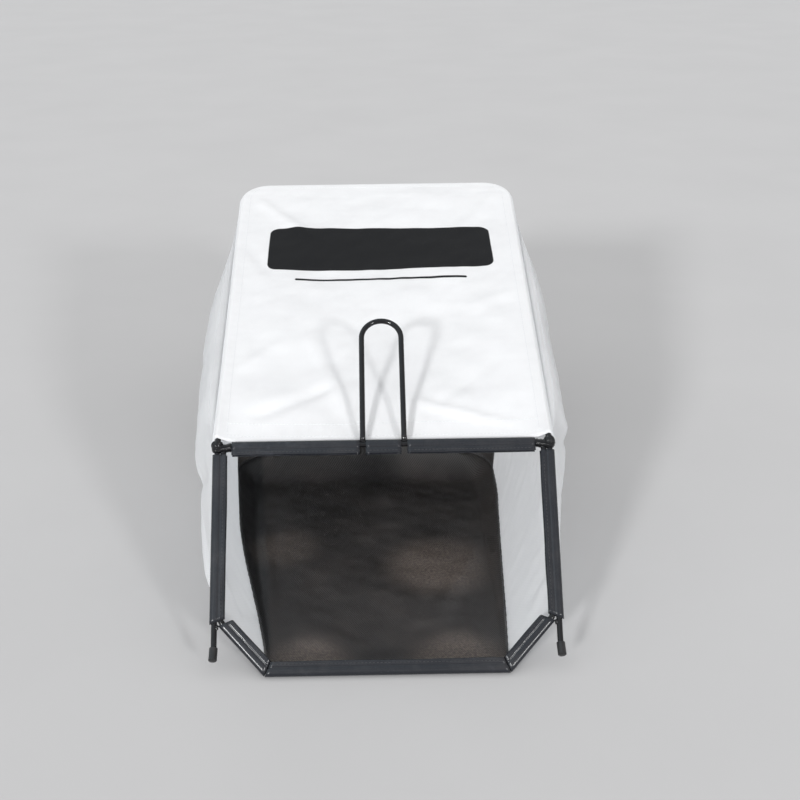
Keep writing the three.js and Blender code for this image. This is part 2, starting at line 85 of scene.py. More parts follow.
# %% [markdown]
# The mouth leans back and the rails rise, so sums in plain x, y and z would be long. Two sets of
# directions do the work instead: one lies in the plane of the mouth, the other in the plane of the
# rails. A point is then given by how far it lies across, along and off such a plane.

# %% Places on the frame
ACROSS = np.array([1.0, 0.0, 0.0])
DOWN = np.array([0.0, -math.sin(LEAN), -math.cos(LEAN)])
BACK = np.array([0.0, math.cos(LEAN), -math.sin(LEAN)])
RAIL_ALONG = np.array([0.0, math.cos(RISE), math.sin(RISE)])
RAIL_UP = np.array([0.0, -math.sin(RISE), math.cos(RISE)])
BOTTOM_BAR = np.array([0.0, FLOOR_SHIFT, CHANNEL + GAP])
TOP_BAR = BOTTOM_BAR - MOUTH_HEIGHT * DOWN


def spot(origin, parts):
    """Adds up distances along directions. Each distance may be a number or an array."""
    total = origin
    for distance, direction in parts:
        total = total + np.asarray(distance, float)[..., None] * direction
    return total


def on_mouth(x, v, b=0.0):
    return spot(TOP_BAR, [(x, ACROSS), (v, DOWN), (b, BACK)])


def on_rails(x, q, h=0.0):
    return spot(TOP_BAR, [(x, ACROSS), (q, RAIL_ALONG), (h, RAIL_UP)])


def behind_mouth(z, b):
    return FLOOR_SHIFT + (b + (z - BOTTOM_BAR[2]) * math.sin(LEAN)) / math.cos(LEAN)


def smooth(t):
    s = np.clip(t, 0.0, 1.0)
    return s * s * (3 - 2 * s)


def mix(a, b, t):
    return a + (b - a) * t


# %% [markdown]
# A mesh could start from Blender's own shapes and modifiers, but cloth that is worked out by a
# formula comes as points anyway. So each mesh is made here from a list of points and a list of
# faces. It also gets a UV map named "cloth" that holds real distances in metres, so a weave or a
# row of ribs has the same size on every piece.

# %% Mesh helpers
def make_object(name, points, faces, uvs, smooth_shading=True):
    mesh = bpy.data.meshes.new(name)
    mesh.from_pydata([tuple(p) for p in np.asarray(points, float)], [], faces)
    layer = mesh.uv_layers.new(name="cloth")
    corner = np.zeros(len(mesh.loops), dtype=np.int32)
    mesh.loops.foreach_get("vertex_index", corner)
    layer.data.foreach_set("uv", np.asarray(uvs, float)[corner].ravel())
    mesh.polygons.foreach_set("use_smooth", [smooth_shading] * len(mesh.polygons))
    mesh.update()
    made = bpy.data.objects.new(name, mesh)
    bpy.context.scene.collection.objects.link(made)
    return made


def grid_faces(rows, columns, start=0, wrap=False):
    faces = []
    for i in range(rows - 1):
        for j in range(columns if wrap else columns - 1):
            k = (j + 1) % columns
            a = start + i * columns
            b = a + columns
            faces.append((a + j, a + k, b + k, b + j))
    return faces


def unit(vectors):
    return vectors / np.linalg.norm(vectors, axis=-1, keepdims=True)


def lengths_along(points):
    steps = np.linalg.norm(np.diff(points, axis=0), axis=1)
    return np.concatenate([[0.0], np.cumsum(steps)])


def looked_up(places, far, line):
    """The points of a line at the given distances along it."""
    return np.column_stack([np.interp(places, far, line[:, k]) for k in range(3)])


# %% [markdown]
# Rods, pipings and weld beads are all round in section. A curve with a bevel could make them, but
# its UV map isn't in metres and its thickness is hard to vary. Here a ring of points is carried
# along a line instead. The ring must not twist, so each one starts from the ring before it and
# turns only as much as the line does.

# %% Tubes
def ring_directions(points, closed=False):
    if closed:
        ahead = np.roll(points, -1, axis=0) - np.roll(points, 1, axis=0)
    else:
        ahead = np.gradient(points, axis=0)
    ahead = unit(ahead)
    side = np.cross(ahead[0], [0.0, 0.0, 1.0])
    if np.linalg.norm(side) < 0.1:
        side = np.cross(ahead[0], [1.0, 0.0, 0.0])
    sides = []
    for direction in ahead:
        side = side - direction * np.dot(side, direction)
        side = side / np.linalg.norm(side)
        sides.append(side)
    sides = np.array(sides)
    return sides, np.cross(ahead, sides)


def tube(name, points, radius, sides=24, closed=False, domed=0.0):
    points = np.asarray(points, float)
    one, two = ring_directions(points, closed)
    turn = np.linspace(0, 2 * math.pi, sides, endpoint=False)
    radius = np.broadcast_to(np.asarray(radius, float), (len(points),))
    rings = (points[:, None, :]
             + radius[:, None, None] * (np.cos(turn)[None, :, None] * one[:, None, :]
                                        + np.sin(turn)[None, :, None] * two[:, None, :]))
    far = lengths_along(points)
    uvs = np.stack(np.broadcast_arrays((turn * radius[0])[None, :], far[:, None]), axis=-1)
    flat = rings.reshape(-1, 3)
    uvs = uvs.reshape(-1, 2)
    faces = grid_faces(len(points), sides, wrap=True)
    count = len(flat)
    if closed:
        last = count - sides
        faces += [(last + j, last + (j + 1) % sides, (j + 1) % sides, j) for j in range(sides)]
        return make_object(name, flat, faces, uvs)
    ahead = unit(points[-1] - points[-2])
    behind = unit(points[0] - points[1])
    ends = np.array([points[0] + behind * domed, points[-1] + ahead * domed])
    flat = np.vstack([flat, ends])
    uvs = np.vstack([uvs, [[0, far[0]], [0, far[-1]]]])
    faces += [(count, (j + 1) % sides, j) for j in range(sides)]
    faces += [(count + 1, count - sides + j, count - sides + (j + 1) % sides) for j in range(sides)]
    return make_object(name, flat, faces, uvs)


# %% [markdown]
# Rod is bent round a former, so it is straight between its bends, and each bend is an arc that
# meets both straights without a kink. A smooth curve through a few points would swing wide of that,
# so the arcs are worked out. Points lie 4 degrees apart in a bend and 15 mm apart on a straight.

# %% Bent lines
def bend(before, corner, after, radius, step=4.0):
    inward = unit(corner - before)
    outward = unit(after - corner)
    turn = math.acos(np.clip(np.dot(inward, outward), -1, 1))
    side = unit(outward - inward * math.cos(turn))
    start = corner - inward * radius * math.tan(turn / 2)
    angle = np.linspace(0, turn, max(4, int(math.degrees(turn) / step)))[:, None]
    return start + inward * radius * np.sin(angle) + side * radius * (1 - np.cos(angle))


def bent_line(corners, radii, spacing=0.015):
    pieces = [corners[0][None, :]]
    for i, radius in enumerate(radii):
        pieces.append(bend(corners[i], corners[i + 1], corners[i + 2], radius))
    pieces.append(corners[-1][None, :])
    points = np.vstack(pieces)
    filled = [points[:1]]
    for a, b in zip(points[:-1], points[1:]):
        steps = max(1, int(np.linalg.norm(b - a) / spacing))
        filled.append(a + (b - a) * np.linspace(0, 1, steps + 1)[1:, None])
    return np.vstack(filled)


# %% [markdown]
# A rim is the U-shaped line of the rails, or of the floor's edge: a straight side, a round corner
# and the stretch across the rear. The two could be drawn each in its own way, but then the bag's
# wall would be hard to fill in. Both are sampled at the same shares, so that a straight line from
# one to the other runs down the wall. "from_mouth" counts from 0 at the mouth to 1 in the middle of
# the rear corner and 1.4 at the middle of the rear.

# %% The rims
RAIL_STEPS = 96
CORNER_STEPS = 20
REAR_STEPS = 60
CORNER_FROM = 0.8
CORNER_SPAN = 0.4
REAR_FROM = 1.2
REAR_SPAN = 0.2


def half_rim(start, corner, radius):
    along = unit(corner - start)
    inward = np.array([-along[1], along[0]])
    turn = math.acos(-along[0])
    bend_start = corner - along * radius * math.tan(turn / 2)
    share = np.arange(RAIL_STEPS) / RAIL_STEPS
    straight = start + (bend_start - start) * share[:, None]
    angle = np.linspace(0, turn, CORNER_STEPS + 1)[:, None]
    curve = bend_start + along * radius * np.sin(angle) + inward * radius * (1 - np.cos(angle))
    curve_out = along * np.sin(angle) - inward * np.cos(angle)
    curve_from = CORNER_FROM + CORNER_SPAN * np.arange(CORNER_STEPS + 1) / CORNER_STEPS
    return {
        "at": np.vstack([straight, curve]),
        "out": np.vstack([np.tile(-inward, (RAIL_STEPS, 1)), curve_out]),
        "share": np.concatenate([share, np.ones(CORNER_STEPS + 1)]),
        "from_mouth": np.concatenate([CORNER_FROM * share, curve_from]),
    }


def whole_rim(half):
    end = half["at"][-1]
    step = np.arange(1, REAR_STEPS) / REAR_STEPS
    rear = np.stack([end[0] * (1 - 2 * step), np.full(len(step), end[1])], axis=1)
    flip = np.array([-1.0, 1.0])
    rear_out = np.tile([0.0, 1.0], (len(step), 1))
    rear_from = REAR_FROM + REAR_SPAN * (1 - np.abs(1 - 2 * step))
    return {
        "at": np.vstack([half["at"], rear, (half["at"] * flip)[::-1]]),
        "out": np.vstack([half["out"], rear_out, (half["out"] * flip)[::-1]]),
        "share": np.concatenate([half["share"], np.ones(len(step)), half["share"][::-1]]),
        "from_mouth": np.concatenate([half["from_mouth"], rear_from, half["from_mouth"][::-1]]),
    }


rail_start = EDGE_BACK / math.cos(LEAN + RISE)
rail_start_half = mix(LEG_HALF, REAR_HALF, rail_start / RAIL_LENGTH)
rail_half = half_rim(np.array([rail_start_half, rail_start]),
                     np.array([REAR_HALF, RAIL_LENGTH]), REAR_RADIUS)
floor_start = np.array([LOOP_HALF - CUT_ACROSS, behind_mouth(PIPING, EDGE_BACK + PIPING)])
floor_half = half_rim(floor_start,
                      np.array([FLOOR_REAR_HALF, FLOOR_SHIFT + FLOOR_LENGTH]), FLOOR_RADIUS)
rail_rim = whole_rim(rail_half)
floor_rim = whole_rim(floor_half)
print("places round the rim:", len(rail_rim["at"]))

# %% [markdown]
# The seams are the lines where the bag's pieces are sewn together. One runs under the rails, a
# little to the outside, the other round the floor's edge, which rises towards the rear. No rod
# holds the lower one, so on the real bag it hangs a little askew. A simulation could let it sag, but
# a small sideways shift by formula follows the photograph more closely.

# %% The seams
def rail_seam(rim):
    reach = ROD + GAP + PIPING
    side = reach * math.sin(SEAM_ANGLE)
    at = rim["at"] + rim["out"] * side
    return on_rails(at[:, 0], at[:, 1], np.full(len(at), reach * math.cos(SEAM_ANGLE)))


def floor_seam(rim):
    height = PIPING + FLOOR_LIFT * smooth(rim["share"])
    return np.column_stack([rim["at"], height])


MOUTH_LOW = 0.24
SWAY_LEFT = -0.025
SWAY_RIGHT = -0.015
SWAY_REAR = -0.008


def sway(points):
    """The slack bag hangs a little to the left, the more so the further back."""
    x, y = points[..., 0], points[..., 1]
    left = SWAY_LEFT * smooth((y + MOUTH_LOW) / 0.30)
    right = SWAY_RIGHT * smooth((y + MOUTH_LOW) / 0.44) + SWAY_REAR * smooth((y - 0.10) / 0.12)
    moved = np.array(points)
    moved[..., 0] += mix(left, right, np.clip((x / FLOOR_REAR_HALF + 1) / 2, 0, 1))
    return moved


top_line = rail_seam(rail_rim)
bottom_line = sway(floor_seam(floor_rim))
seam_lengths = [round(float(lengths_along(line)[-1]), 3) for line in (top_line, bottom_line)]
print("seams under the rails and round the floor:", seam_lengths, "m")

# %% [markdown]
# Cloth is never flat. A simulation could fold it, but takes long and is hard to steer to the folds
# of one photograph. These functions give small heights to add instead: a mix of soft waves in
# random directions, and single folds that run from one place to another. The random numbers come
# from a fixed seed, so that the cloth looks the same each time.

# %% Waves and folds
def waves(u, v, seed, count, shortest, longest, lean=None):
    """A sum of waves, scaled to about -1 to 1. With lean, the waves run mostly that way."""
    dice = np.random.default_rng(seed)
    total = np.zeros(np.broadcast(u, v).shape)
    for _ in range(count):
        size = dice.uniform(shortest, longest)
        heading = dice.uniform(0, math.pi) if lean is None else lean + dice.normal(0, 0.28)
        phase = dice.uniform(0, 2 * math.pi)
        swing = dice.uniform(0, 2 * math.pi)
        drift = 0.35 * np.sin((u * 7.1 - v * 5.3) / 0.1 * 0.35 + swing)
        distance = u * math.cos(heading) + v * math.sin(heading)
        wave = np.sin(2 * math.pi * distance / size + phase + drift)
        total = total + wave * math.sqrt(size / longest)
    return total / math.sqrt(count)


def fold(u, v, start, end, width, height):
    """A ridge from start to end that fades at both ends."""
    start = np.array(start)
    run = np.array(end) - start
    length = np.linalg.norm(run)
    run = run / length
    along = ((u - start[0]) * run[0] + (v - start[1]) * run[1]) / length
    off = -(u - start[0]) * run[1] + (v - start[1]) * run[0]
    fade = smooth(along / 0.25) * smooth((1 - along) / 0.25)
    return height * fade * np.exp(-np.abs(off / width) ** 2.0)


def add_folds(lift, u, v, folds):
    for start, end, width, height in folds:
        lift = lift + fold(u, v, start, end, width, height)
    return lift


def hem_weight(distance, width):
    return smooth(distance / width)


# %% [markdown]
# The front edge of a side wall is sewn to the vinyl of the mouth: it runs down behind the side
# channel, then slantwise behind the corner channel. A straight cut from seam to seam would leave a
# gap there, so the edge is a bent line, and the wall's rows share out its length evenly.

# %% The front edge of a side wall
WALL_ROWS = 72
CHANNEL_TOP = 0.010


def front_edge(sign):
    slope = CUT_UP / CUT_ACROSS
    cut_start = MOUTH_HEIGHT - CUT_UP - (LEG_HALF - LOOP_HALF) * slope
    seam_top = top_line[0] if sign > 0 else top_line[-1]
    seam_bottom = bottom_line[0] if sign > 0 else bottom_line[-1]
    corners = np.vstack([
        seam_top,
        on_mouth(sign * LEG_HALF, CHANNEL_TOP, EDGE_BACK),
        on_mouth(sign * LEG_HALF, cut_start, EDGE_BACK),
        seam_bottom,
    ])
    far = lengths_along(corners)
    return looked_up(np.linspace(0, 1, WALL_ROWS) * far[-1], far, corners)


# %% [markdown]
# The wall of the bag runs round from the right end of the mouth to the left end. On the real bag
# it bulges outward between its two seams, most of all beside the front half of the rails, where
# the photograph shows its outline. Cloth under pressure could be simulated. A straight line from
# seam to seam, pushed outward by a formula, is quicker and can be set to that outline. The rear
# corners are held taut, so they hardly bulge, and the rear's bulge is low.

# %% The wall's shape
BULGE_RIGHT = 0.033
BULGE_LEFT = 0.036
BULGE_CORNER = 0.002
BULGE_REAR = 0.010


def bulge_depths(from_mouth, right_side):
    """How far the wall stands out, at each place round the rim."""
    rounded = np.sin(math.pi / 2 * np.minimum(1, from_mouth / 0.16))
    full = np.where(right_side, BULGE_RIGHT, BULGE_LEFT)
    rear = mix(BULGE_CORNER, BULGE_REAR, smooth((from_mouth - 1.1) / 0.3))
    past = np.where(right_side, (from_mouth - 0.50) / 0.30, (from_mouth - 0.42) / 0.38)
    return mix(full, rear, smooth(past)) * rounded


def wall_surface():
    count = len(top_line)
    share = np.linspace(0, 1, WALL_ROWS)
    from_mouth = rail_rim["from_mouth"]
    right_side = np.arange(count) * 2 < count - 1
    fronts = {True: front_edge(1), False: front_edge(-1)}
    out = np.column_stack([rail_rim["out"], np.zeros(count)])
    bulge = bulge_depths(from_mouth, right_side)
    near_mouth = 1 - smooth(from_mouth / 0.5)
    points = np.zeros((count, WALL_ROWS, 3))
    for k in range(count):
        front = fronts[bool(right_side[k])]
        chord = mix(front[0], front[-1], share[:, None])
        line = mix(top_line[k], bottom_line[k], share[:, None])
        line = line + (front - chord) * max(0.0, 1 - from_mouth[k]) ** 2.4
        swell = np.sin(math.pi * np.sqrt(share)) * (1 - 0.55 * share * near_mouth[k])
        points[k] = line + out[k] * (bulge[k] * swell)[:, None]
    return points, out


wall, wall_out = wall_surface()
wall_high = np.linalg.norm(top_line - bottom_line, axis=1)[:, None]
wall_far = lengths_along(mix(top_line, bottom_line, 0.4))
wall_u = np.repeat(wall_far[:, None], WALL_ROWS, axis=1)
wall_v = np.linspace(0, 1, WALL_ROWS)[None, :] * wall_high
wall_length = wall_far[-1]
print("the wall is", round(wall_length, 3), "m round, up to", round(float(wall_v.max()), 3), "m high")

# %% [markdown]
# The real wall has waves that hang from the rails, and a few longer folds that start where the
# cloth is held, at the mouth's corners and at the rear corners. A bump texture could draw them, but
# folds this deep show in the outline and in the shadows, so they move the mesh itself. Near the
# seams the thread gathers the cloth in small puckers.

# %% The wall's folds
def wall_folds(u, v, high, front):
    share = v / high
    middle = np.sin(math.pi * np.clip(share, 0, 1)) ** 0.8
    lift = 0.0022 * waves(u, v, 11, 7, 0.055, 0.15, lean=0.12) * middle
    lift = lift + 0.0011 * waves(u, v, 12, 9, 0.028, 0.07, lean=0.35) * middle
    lift = lift + 0.0005 * waves(u, v, 13, 10, 0.012, 0.03) * middle ** 0.5
    lift = lift * hem_weight(front, 0.03)
    pucker = np.sin(2 * math.pi * u / 0.0155 + 2.2 * waves(u, v * 0, 14, 4, 0.05, 0.2))
    near_top = np.exp(-v / 0.014) * smooth(v / 0.003)
    near_bottom = np.exp(-(high - v) / 0.014) * smooth((high - v) / 0.003)
    return lift + 0.00055 * pucker * (near_top + near_bottom) * smooth(front / 0.01)


lift = wall_folds(wall_u, wall_v, wall_high, np.minimum(wall_u, wall_length - wall_u))
print("deepest wave:", round(float(np.abs(lift).max()) * 1000, 1), "mm")

# %% [markdown]
# The single folds are the ones that can be seen in the photograph, and a few like them where it
# shows nothing. Random waves alone would never put them in the right place, so each is written
# down: where it starts and ends, along the wall and down from the rail, its width and its height.
# Each side counts from its own end of the mouth, and the rear counts from its right seam.

# %% The wall's single folds
RIGHT_FOLDS = [
    ((0.012, 0.020), (0.210, 0.150), 0.009, -0.0045),
    ((0.060, 0.015), (0.150, 0.190), 0.010, 0.0036),
    ((0.250, 0.030), (0.330, 0.220), 0.014, -0.0040),
    ((0.400, 0.280), (0.520, 0.030), 0.013, -0.0044),
    ((0.470, 0.020), (0.560, 0.190), 0.011, 0.0034),
]
LEFT_FOLDS = [
    ((0.015, 0.040), (0.160, 0.180), 0.011, -0.0056),
    ((0.014, 0.228), (0.200, 0.090), 0.009, 0.0085),
    ((0.030, 0.245), (0.230, 0.120), 0.009, -0.0060),
    ((0.180, 0.020), (0.290, 0.210), 0.013, -0.0046),
    ((0.330, 0.020), (0.380, 0.270), 0.012, 0.0036),
    ((0.500, 0.030), (0.420, 0.260), 0.013, -0.0042),
    ((0.540, 0.240), (0.600, 0.040), 0.011, 0.0030),
]
REAR_FOLDS = [
    ((0.030, 0.030), (0.140, 0.210), 0.013, 0.0052),
    ((0.455, 0.030), (0.330, 0.190), 0.012, 0.0046),
    ((0.110, 0.340), (0.190, 0.190), 0.014, -0.0044),
    ((0.380, 0.340), (0.290, 0.210), 0.013, 0.0038),
    ((0.230, 0.020), (0.250, 0.160), 0.011, -0.0030),
]
lift = add_folds(lift, wall_u, wall_v, RIGHT_FOLDS)
lift = add_folds(lift, wall_length - wall_u, wall_v, LEFT_FOLDS)
lift = add_folds(lift, wall_u - wall_u[RAIL_STEPS, 0], wall_v, REAR_FOLDS)
wall = wall + wall_out[:, None, :] * lift[:, :, None]
print("deepest fold:", round(float(np.abs(lift).max()) * 1000, 1), "mm")

# %% [markdown]
# A piece of cloth has a thickness and a cut edge. Both could be built face by face. It is simpler to
# make one layer and let the Solidify modifier add the thickness, half to each side, with a flat ring
# of faces along the edge. The wall is cut into its three pieces at the seams in the rear corners.

# %% Cloth pieces
def thicken(made):
    thick = made.modifiers.new("thickness", "SOLIDIFY")
    thick.thickness = CLOTH
    thick.offset = 0
    return made


def cloth_piece(name, points, u, v):
    rows, columns = points.shape[:2]
    uvs = np.stack([u, v], axis=-1).reshape(-1, 2)
    return thicken(make_object(name, points.reshape(-1, 3), grid_faces(rows, columns), uvs))


def cloth_area(points):
    a = points[:-1, :-1]
    b = points[1:, :-1]
    c = points[1:, 1:]
    d = points[:-1, 1:]
    one = np.linalg.norm(np.cross(b - a, c - a), axis=-1)
    two = np.linalg.norm(np.cross(c - a, d - a), axis=-1)
    return float((one + two).sum() / 2)


SEAM_PLACE = RAIL_STEPS
LAST = len(top_line) - 1
cloth = {}
flat_sizes = {}
wall_parts = {
    "side_panel_right": (0, SEAM_PLACE),
    "rear_panel": (SEAM_PLACE, LAST - SEAM_PLACE),
    "side_panel_left": (LAST - SEAM_PLACE, LAST),
}
for name, (first, last) in wall_parts.items():
    part = slice(first, last + 1)
    cloth[name] = cloth_piece("cloth_" + name, wall[part], wall_u[part], wall_v[part])
    area = cloth_area(wall[part])
    width = float(wall_u[last, 0] - wall_u[first, 0])
    high = float(np.linalg.norm(np.diff(wall[part], axis=1), axis=2).sum(axis=1).max())
    flat_sizes[name] = (width, high, area)
    print(name, "flat", round(width, 3), "x", round(high, 3), "area", round(area, 4))

# %% [markdown]
# The top of the bag is stretched over the rails and sewn on under them. It could be a flat sheet
# shrunk onto the rods, but rows of points give clean folds and an even UV map. Each row runs
# across: up over the left rail, over the open middle, and down over the right rail. Near the mouth
# the middle dips behind the top bar. Further back it sags. A last strip rolls over the rear bar.

# %% The top's shape
ROLL = 10
TOP_COLUMNS = 120
TOP_SAG = 5 * MM
ROLL_ANGLE = SEAM_ANGLE - math.radians(12)


def rolled(at, out):
    radius = ROD + GAP + CLOTH / 2
    angle = np.linspace(0, ROLL_ANGLE, ROLL + 1)
    side = radius * np.sin(angle)
    return on_rails(at[0] + out[0] * side, at[1] + out[1] * side, radius * np.cos(angle))


def top_rows():
    front = on_mouth(0.0, CLOTH / 2 + GAP - ROD, EDGE_BACK)
    dip = front - on_rails(0.0, rail_start, ROD + GAP + CLOTH / 2)
    c = np.linspace(-1, 1, TOP_COLUMNS + 1)
    rows = []
    for at, out in zip(rail_half["at"], rail_half["out"]):
        right = rolled(at, out)
        left = rolled(at * [-1, 1], out * [-1, 1])
        q = at[1]
        middle = left[0] + (right[0] - left[0]) * ((c[:, None] + 1) / 2)
        fade = 1 - smooth((q - rail_start) / (HANDLE_LENGTH / 2))
        middle = middle + dip * (fade * (1 - np.abs(c) ** 10))[:, None]
        sag = TOP_SAG * math.sin(math.pi * q / RAIL_LENGTH)
        middle = middle - RAIL_UP * (sag * (1 - c * c))[:, None]
        rows.append(np.vstack([left[::-1], middle[1:-1], right]))
    return np.array(rows)


top = top_rows()
rear_row = top[-1]
flap = []
for x in rear_row[ROLL:ROLL + TOP_COLUMNS + 1, 0]:
    flap.append(rolled(np.array([x, rail_half["at"][-1][1]]), rail_half["out"][-1]))
flap = np.array(flap)
print("top grid:", top.shape[:2])

# %% [markdown]
# The folds of the top are low, because the rails hold it taut. Most of them start behind the top
# bar, where the cloth is pulled down, and fan out towards the rails; others run in from the rear
# corners. They could be left to the random waves, but these creases catch the light in the
# photograph, so the clear ones are set one by one.

# %% The top's folds
top_q = (top - TOP_BAR) @ RAIL_ALONG
top_x = top[:, :, 0]
half_width = np.abs(top_x).max(axis=1)[:, None]
edge = np.clip(half_width - np.abs(top_x), 0, None)
free = hem_weight(edge - 0.006, 0.03)
free = free * hem_weight(top_q - rail_start - 0.002, 0.045)
free = free * hem_weight(RAIL_LENGTH - top_q - 0.004, 0.03)
lift = 0.0013 * waves(top_x, top_q, 21, 8, 0.09, 0.22)
lift = lift + 0.0006 * waves(top_x, top_q, 22, 10, 0.035, 0.08)
lift = lift + 0.0002 * waves(top_x, top_q, 23, 10, 0.014, 0.03)
TOP_FOLDS = [
    ((0.025, 0.075), (0.185, 0.020), 0.006, 0.0040),
    ((0.030, 0.030), (0.150, 0.150), 0.009, -0.0014),
    ((-0.030, 0.020), (-0.100, 0.230), 0.009, 0.0018),
    ((-0.165, 0.040), (-0.050, 0.110), 0.009, -0.0042),
    ((-0.190, 0.120), (-0.120, 0.200), 0.010, 0.0020),
    ((-0.190, 0.560), (-0.090, 0.430), 0.009, 0.0024),
    ((-0.195, 0.430), (-0.140, 0.330), 0.011, -0.0018),
    ((0.190, 0.570), (0.120, 0.450), 0.010, 0.0020),
    ((0.195, 0.300), (0.100, 0.260), 0.010, 0.0014),
]
lift = add_folds(lift, top_x, top_q, TOP_FOLDS) * free
pucker = np.sin(2 * math.pi * top_q / 0.0165 + 2.0 * waves(top_q, top_q * 0, 24, 4, 0.05, 0.2))
near_rail = np.exp(-np.clip(edge - 0.006, 0, None) / 0.012) * smooth((edge - 0.002) / 0.006)
PUCKER_HIGH = 0.00035
lift = lift + PUCKER_HIGH * pucker * near_rail
hem = PUCKER_HIGH * np.sin(2 * math.pi * top_x / 0.019 + 2 * waves(top_x, top_x * 0, 25, 4, 0.06, 0.2))
lift = lift + hem * np.exp(-np.abs(top_q - 0.03) / 0.012) * smooth(edge / 0.02)
top = top + lift[:, :, None] * RAIL_UP
print("top folds:", round(float(np.abs(lift).max()) * 1000, 1), "mm")

# %% [markdown]
# On the real bag the top and the strip that rolls over the rear bar are one cloth. Two meshes would
# show a gap or a hard edge between them, so they become one. The strip's first line is the top's
# last row, and those points are used again.

# %% The top's mesh
def top_panel():
    rows, columns = top.shape[:2]
    across = np.linalg.norm(np.diff(top, axis=1), axis=2)
    u = np.concatenate([np.zeros((rows, 1)), np.cumsum(across, axis=1)], axis=1)
    u = u - u[:, columns // 2][:, None]
    v = np.repeat(np.asarray(top_q[:, columns // 2])[:, None], columns, axis=1)
    points = list(top.reshape(-1, 3))
    uvs = list(np.stack([u, v], axis=-1).reshape(-1, 2))
    faces = grid_faces(rows, columns)
    line = [(rows - 1) * columns + ROLL + j for j in range(TOP_COLUMNS + 1)]
    far = lengths_along(flap[0])
    for k in range(1, ROLL + 1):
        fresh = []
        for j in range(1, TOP_COLUMNS):
            fresh.append(len(points))
            points.append(flap[j][k])
            uvs.append((u[-1, ROLL + j], v[-1, 0] + far[k]))
        fresh = [line[0] - 1] + fresh + [line[-1] + 1]
        for j in range(TOP_COLUMNS):
            faces.append((line[j], line[j + 1], fresh[j + 1], fresh[j]))
        line = fresh
    made = thicken(make_object("cloth_top_panel", np.array(points), faces, np.array(uvs)))
    area = cloth_area(top) + cloth_area(flap)
    return made, (float(u.max() - u.min()), float(v.max() + far[-1]), area)


cloth["top_panel"], flat_sizes["top_panel"] = top_panel()
print("top flat", [round(x, 4) for x in flat_sizes["top_panel"]])

# %% [markdown]
# The floor is flat in the middle and slopes up to its seam at the sides and the rear, since the
# bag stands on it. It could be cut from one flat sheet, but heavy coated cloth doesn't lie quite
# flat, so the middle rises here and there and never goes below the ground.

# %% The floor
FLOOR_COLUMNS = 110
FLOOR_INSET = 0.0008


def floor_surface():
    rows = []
    bend_start = floor_half["at"][RAIL_STEPS][1]
    first, second = floor_half["at"][:2]
    widening = (second[0] - first[0]) / (second[1] - first[1])
    heights = PIPING + FLOOR_LIFT * smooth(floor_half["share"])
    c = np.linspace(-1, 1, FLOOR_COLUMNS + 1)
    for i, (at, out) in enumerate(zip(floor_half["at"], floor_half["out"])):
        edge_height = heights[i]
        rear = max(0.0, (at[1] - bend_start) / FLOOR_RADIUS)
        inner = mix(CLOTH / 2, edge_height, rear ** 2)
        half = at[0] - out[0] * FLOOR_INSET
        y = at[1] - out[1] * FLOOR_INSET
        if i == 0:
            y = behind_mouth(edge_height, EDGE_BACK)
            half = half + (y - at[1]) * widening
        slope = FLOOR_MARGIN * floor_half["share"][i] + 0.0022
        climb = smooth((np.abs(c) * half - (half - slope)) / slope)
        z = mix(inner, edge_height, climb)
        x = c * half
        rows.append(np.column_stack([x, np.full(len(x), y), z]))
    return np.array(rows)


FLOOR_FOLDS = [
    ((-0.128, -0.24), (-0.162, 0.10), 0.009, 0.0065),
    ((0.05, -0.16), (0.15, 0.08), 0.012, 0.003),
]
floor = sway(floor_surface())
floor_u = floor[:, :, 0]
floor_y = floor[:, :, 1]
to_side = np.minimum(floor_u - floor_u[:, :1], floor_u[:, -1:] - floor_u)
inside = hem_weight(to_side - 0.004, 0.05)
inside = inside * hem_weight(floor_y - floor_y[0, 0] - 0.006, 0.05)
inside = inside * hem_weight(FLOOR_SHIFT + FLOOR_LENGTH - floor_y - 0.02, 0.07)
lift = 0.0016 + 0.0016 * waves(floor_u, floor_y, 31, 8, 0.07, 0.18)
lift = lift + 0.0006 * waves(floor_u, floor_y, 32, 8, 0.02, 0.05)
lift = add_folds(lift, floor_u, floor_y, FLOOR_FOLDS)
floor[:, :, 2] += np.clip(lift, 0, None) * inside
floor_v = floor_y - FLOOR_SHIFT
cloth["floor_panel"] = cloth_piece("cloth_floor_panel", floor, floor_u, floor_v)
flat_sizes["floor_panel"] = (float(np.ptp(floor_u)), float(np.ptp(floor_v)), cloth_area(floor))
print("floor flat", [round(x, 4) for x in flat_sizes["floor_panel"]])

# %% [markdown]
# The frame is two long rods and the handle, each bent from one piece of steel and welded to the
# others. The CAD solids have flats along their bends that a gloss coat would show. Each rod is
# therefore made again as one smooth tube, along the line that the CAD rod follows.

# %% The rods
FOOT_LENGTH = 0.016
FOOT_ANGLE = math.radians(25)
LOOP_RADIUS = 0.010
FOOT_RADIUS = 0.012
SHOULDER_RADIUS = 0.022


def foot_tip(sign):
    return on_mouth(sign * LEG_HALF, LEG_LENGTH + FOOT_LENGTH * math.cos(FOOT_ANGLE),
                    -FOOT_LENGTH * math.sin(FOOT_ANGLE))


def mouth_line():
    low = LOOP_HALF - CUT_ACROSS
    high = MOUTH_HEIGHT - CUT_UP
    places = [(0, MOUTH_HEIGHT), (low, MOUTH_HEIGHT), (LOOP_HALF, high), (LOOP_HALF, 0),
              (-LOOP_HALF, 0), (-LOOP_HALF, high), (-low, MOUTH_HEIGHT), (0, MOUTH_HEIGHT)]
    return bent_line([on_mouth(x, v) for x, v in places], [LOOP_RADIUS] * 6)[:-1]


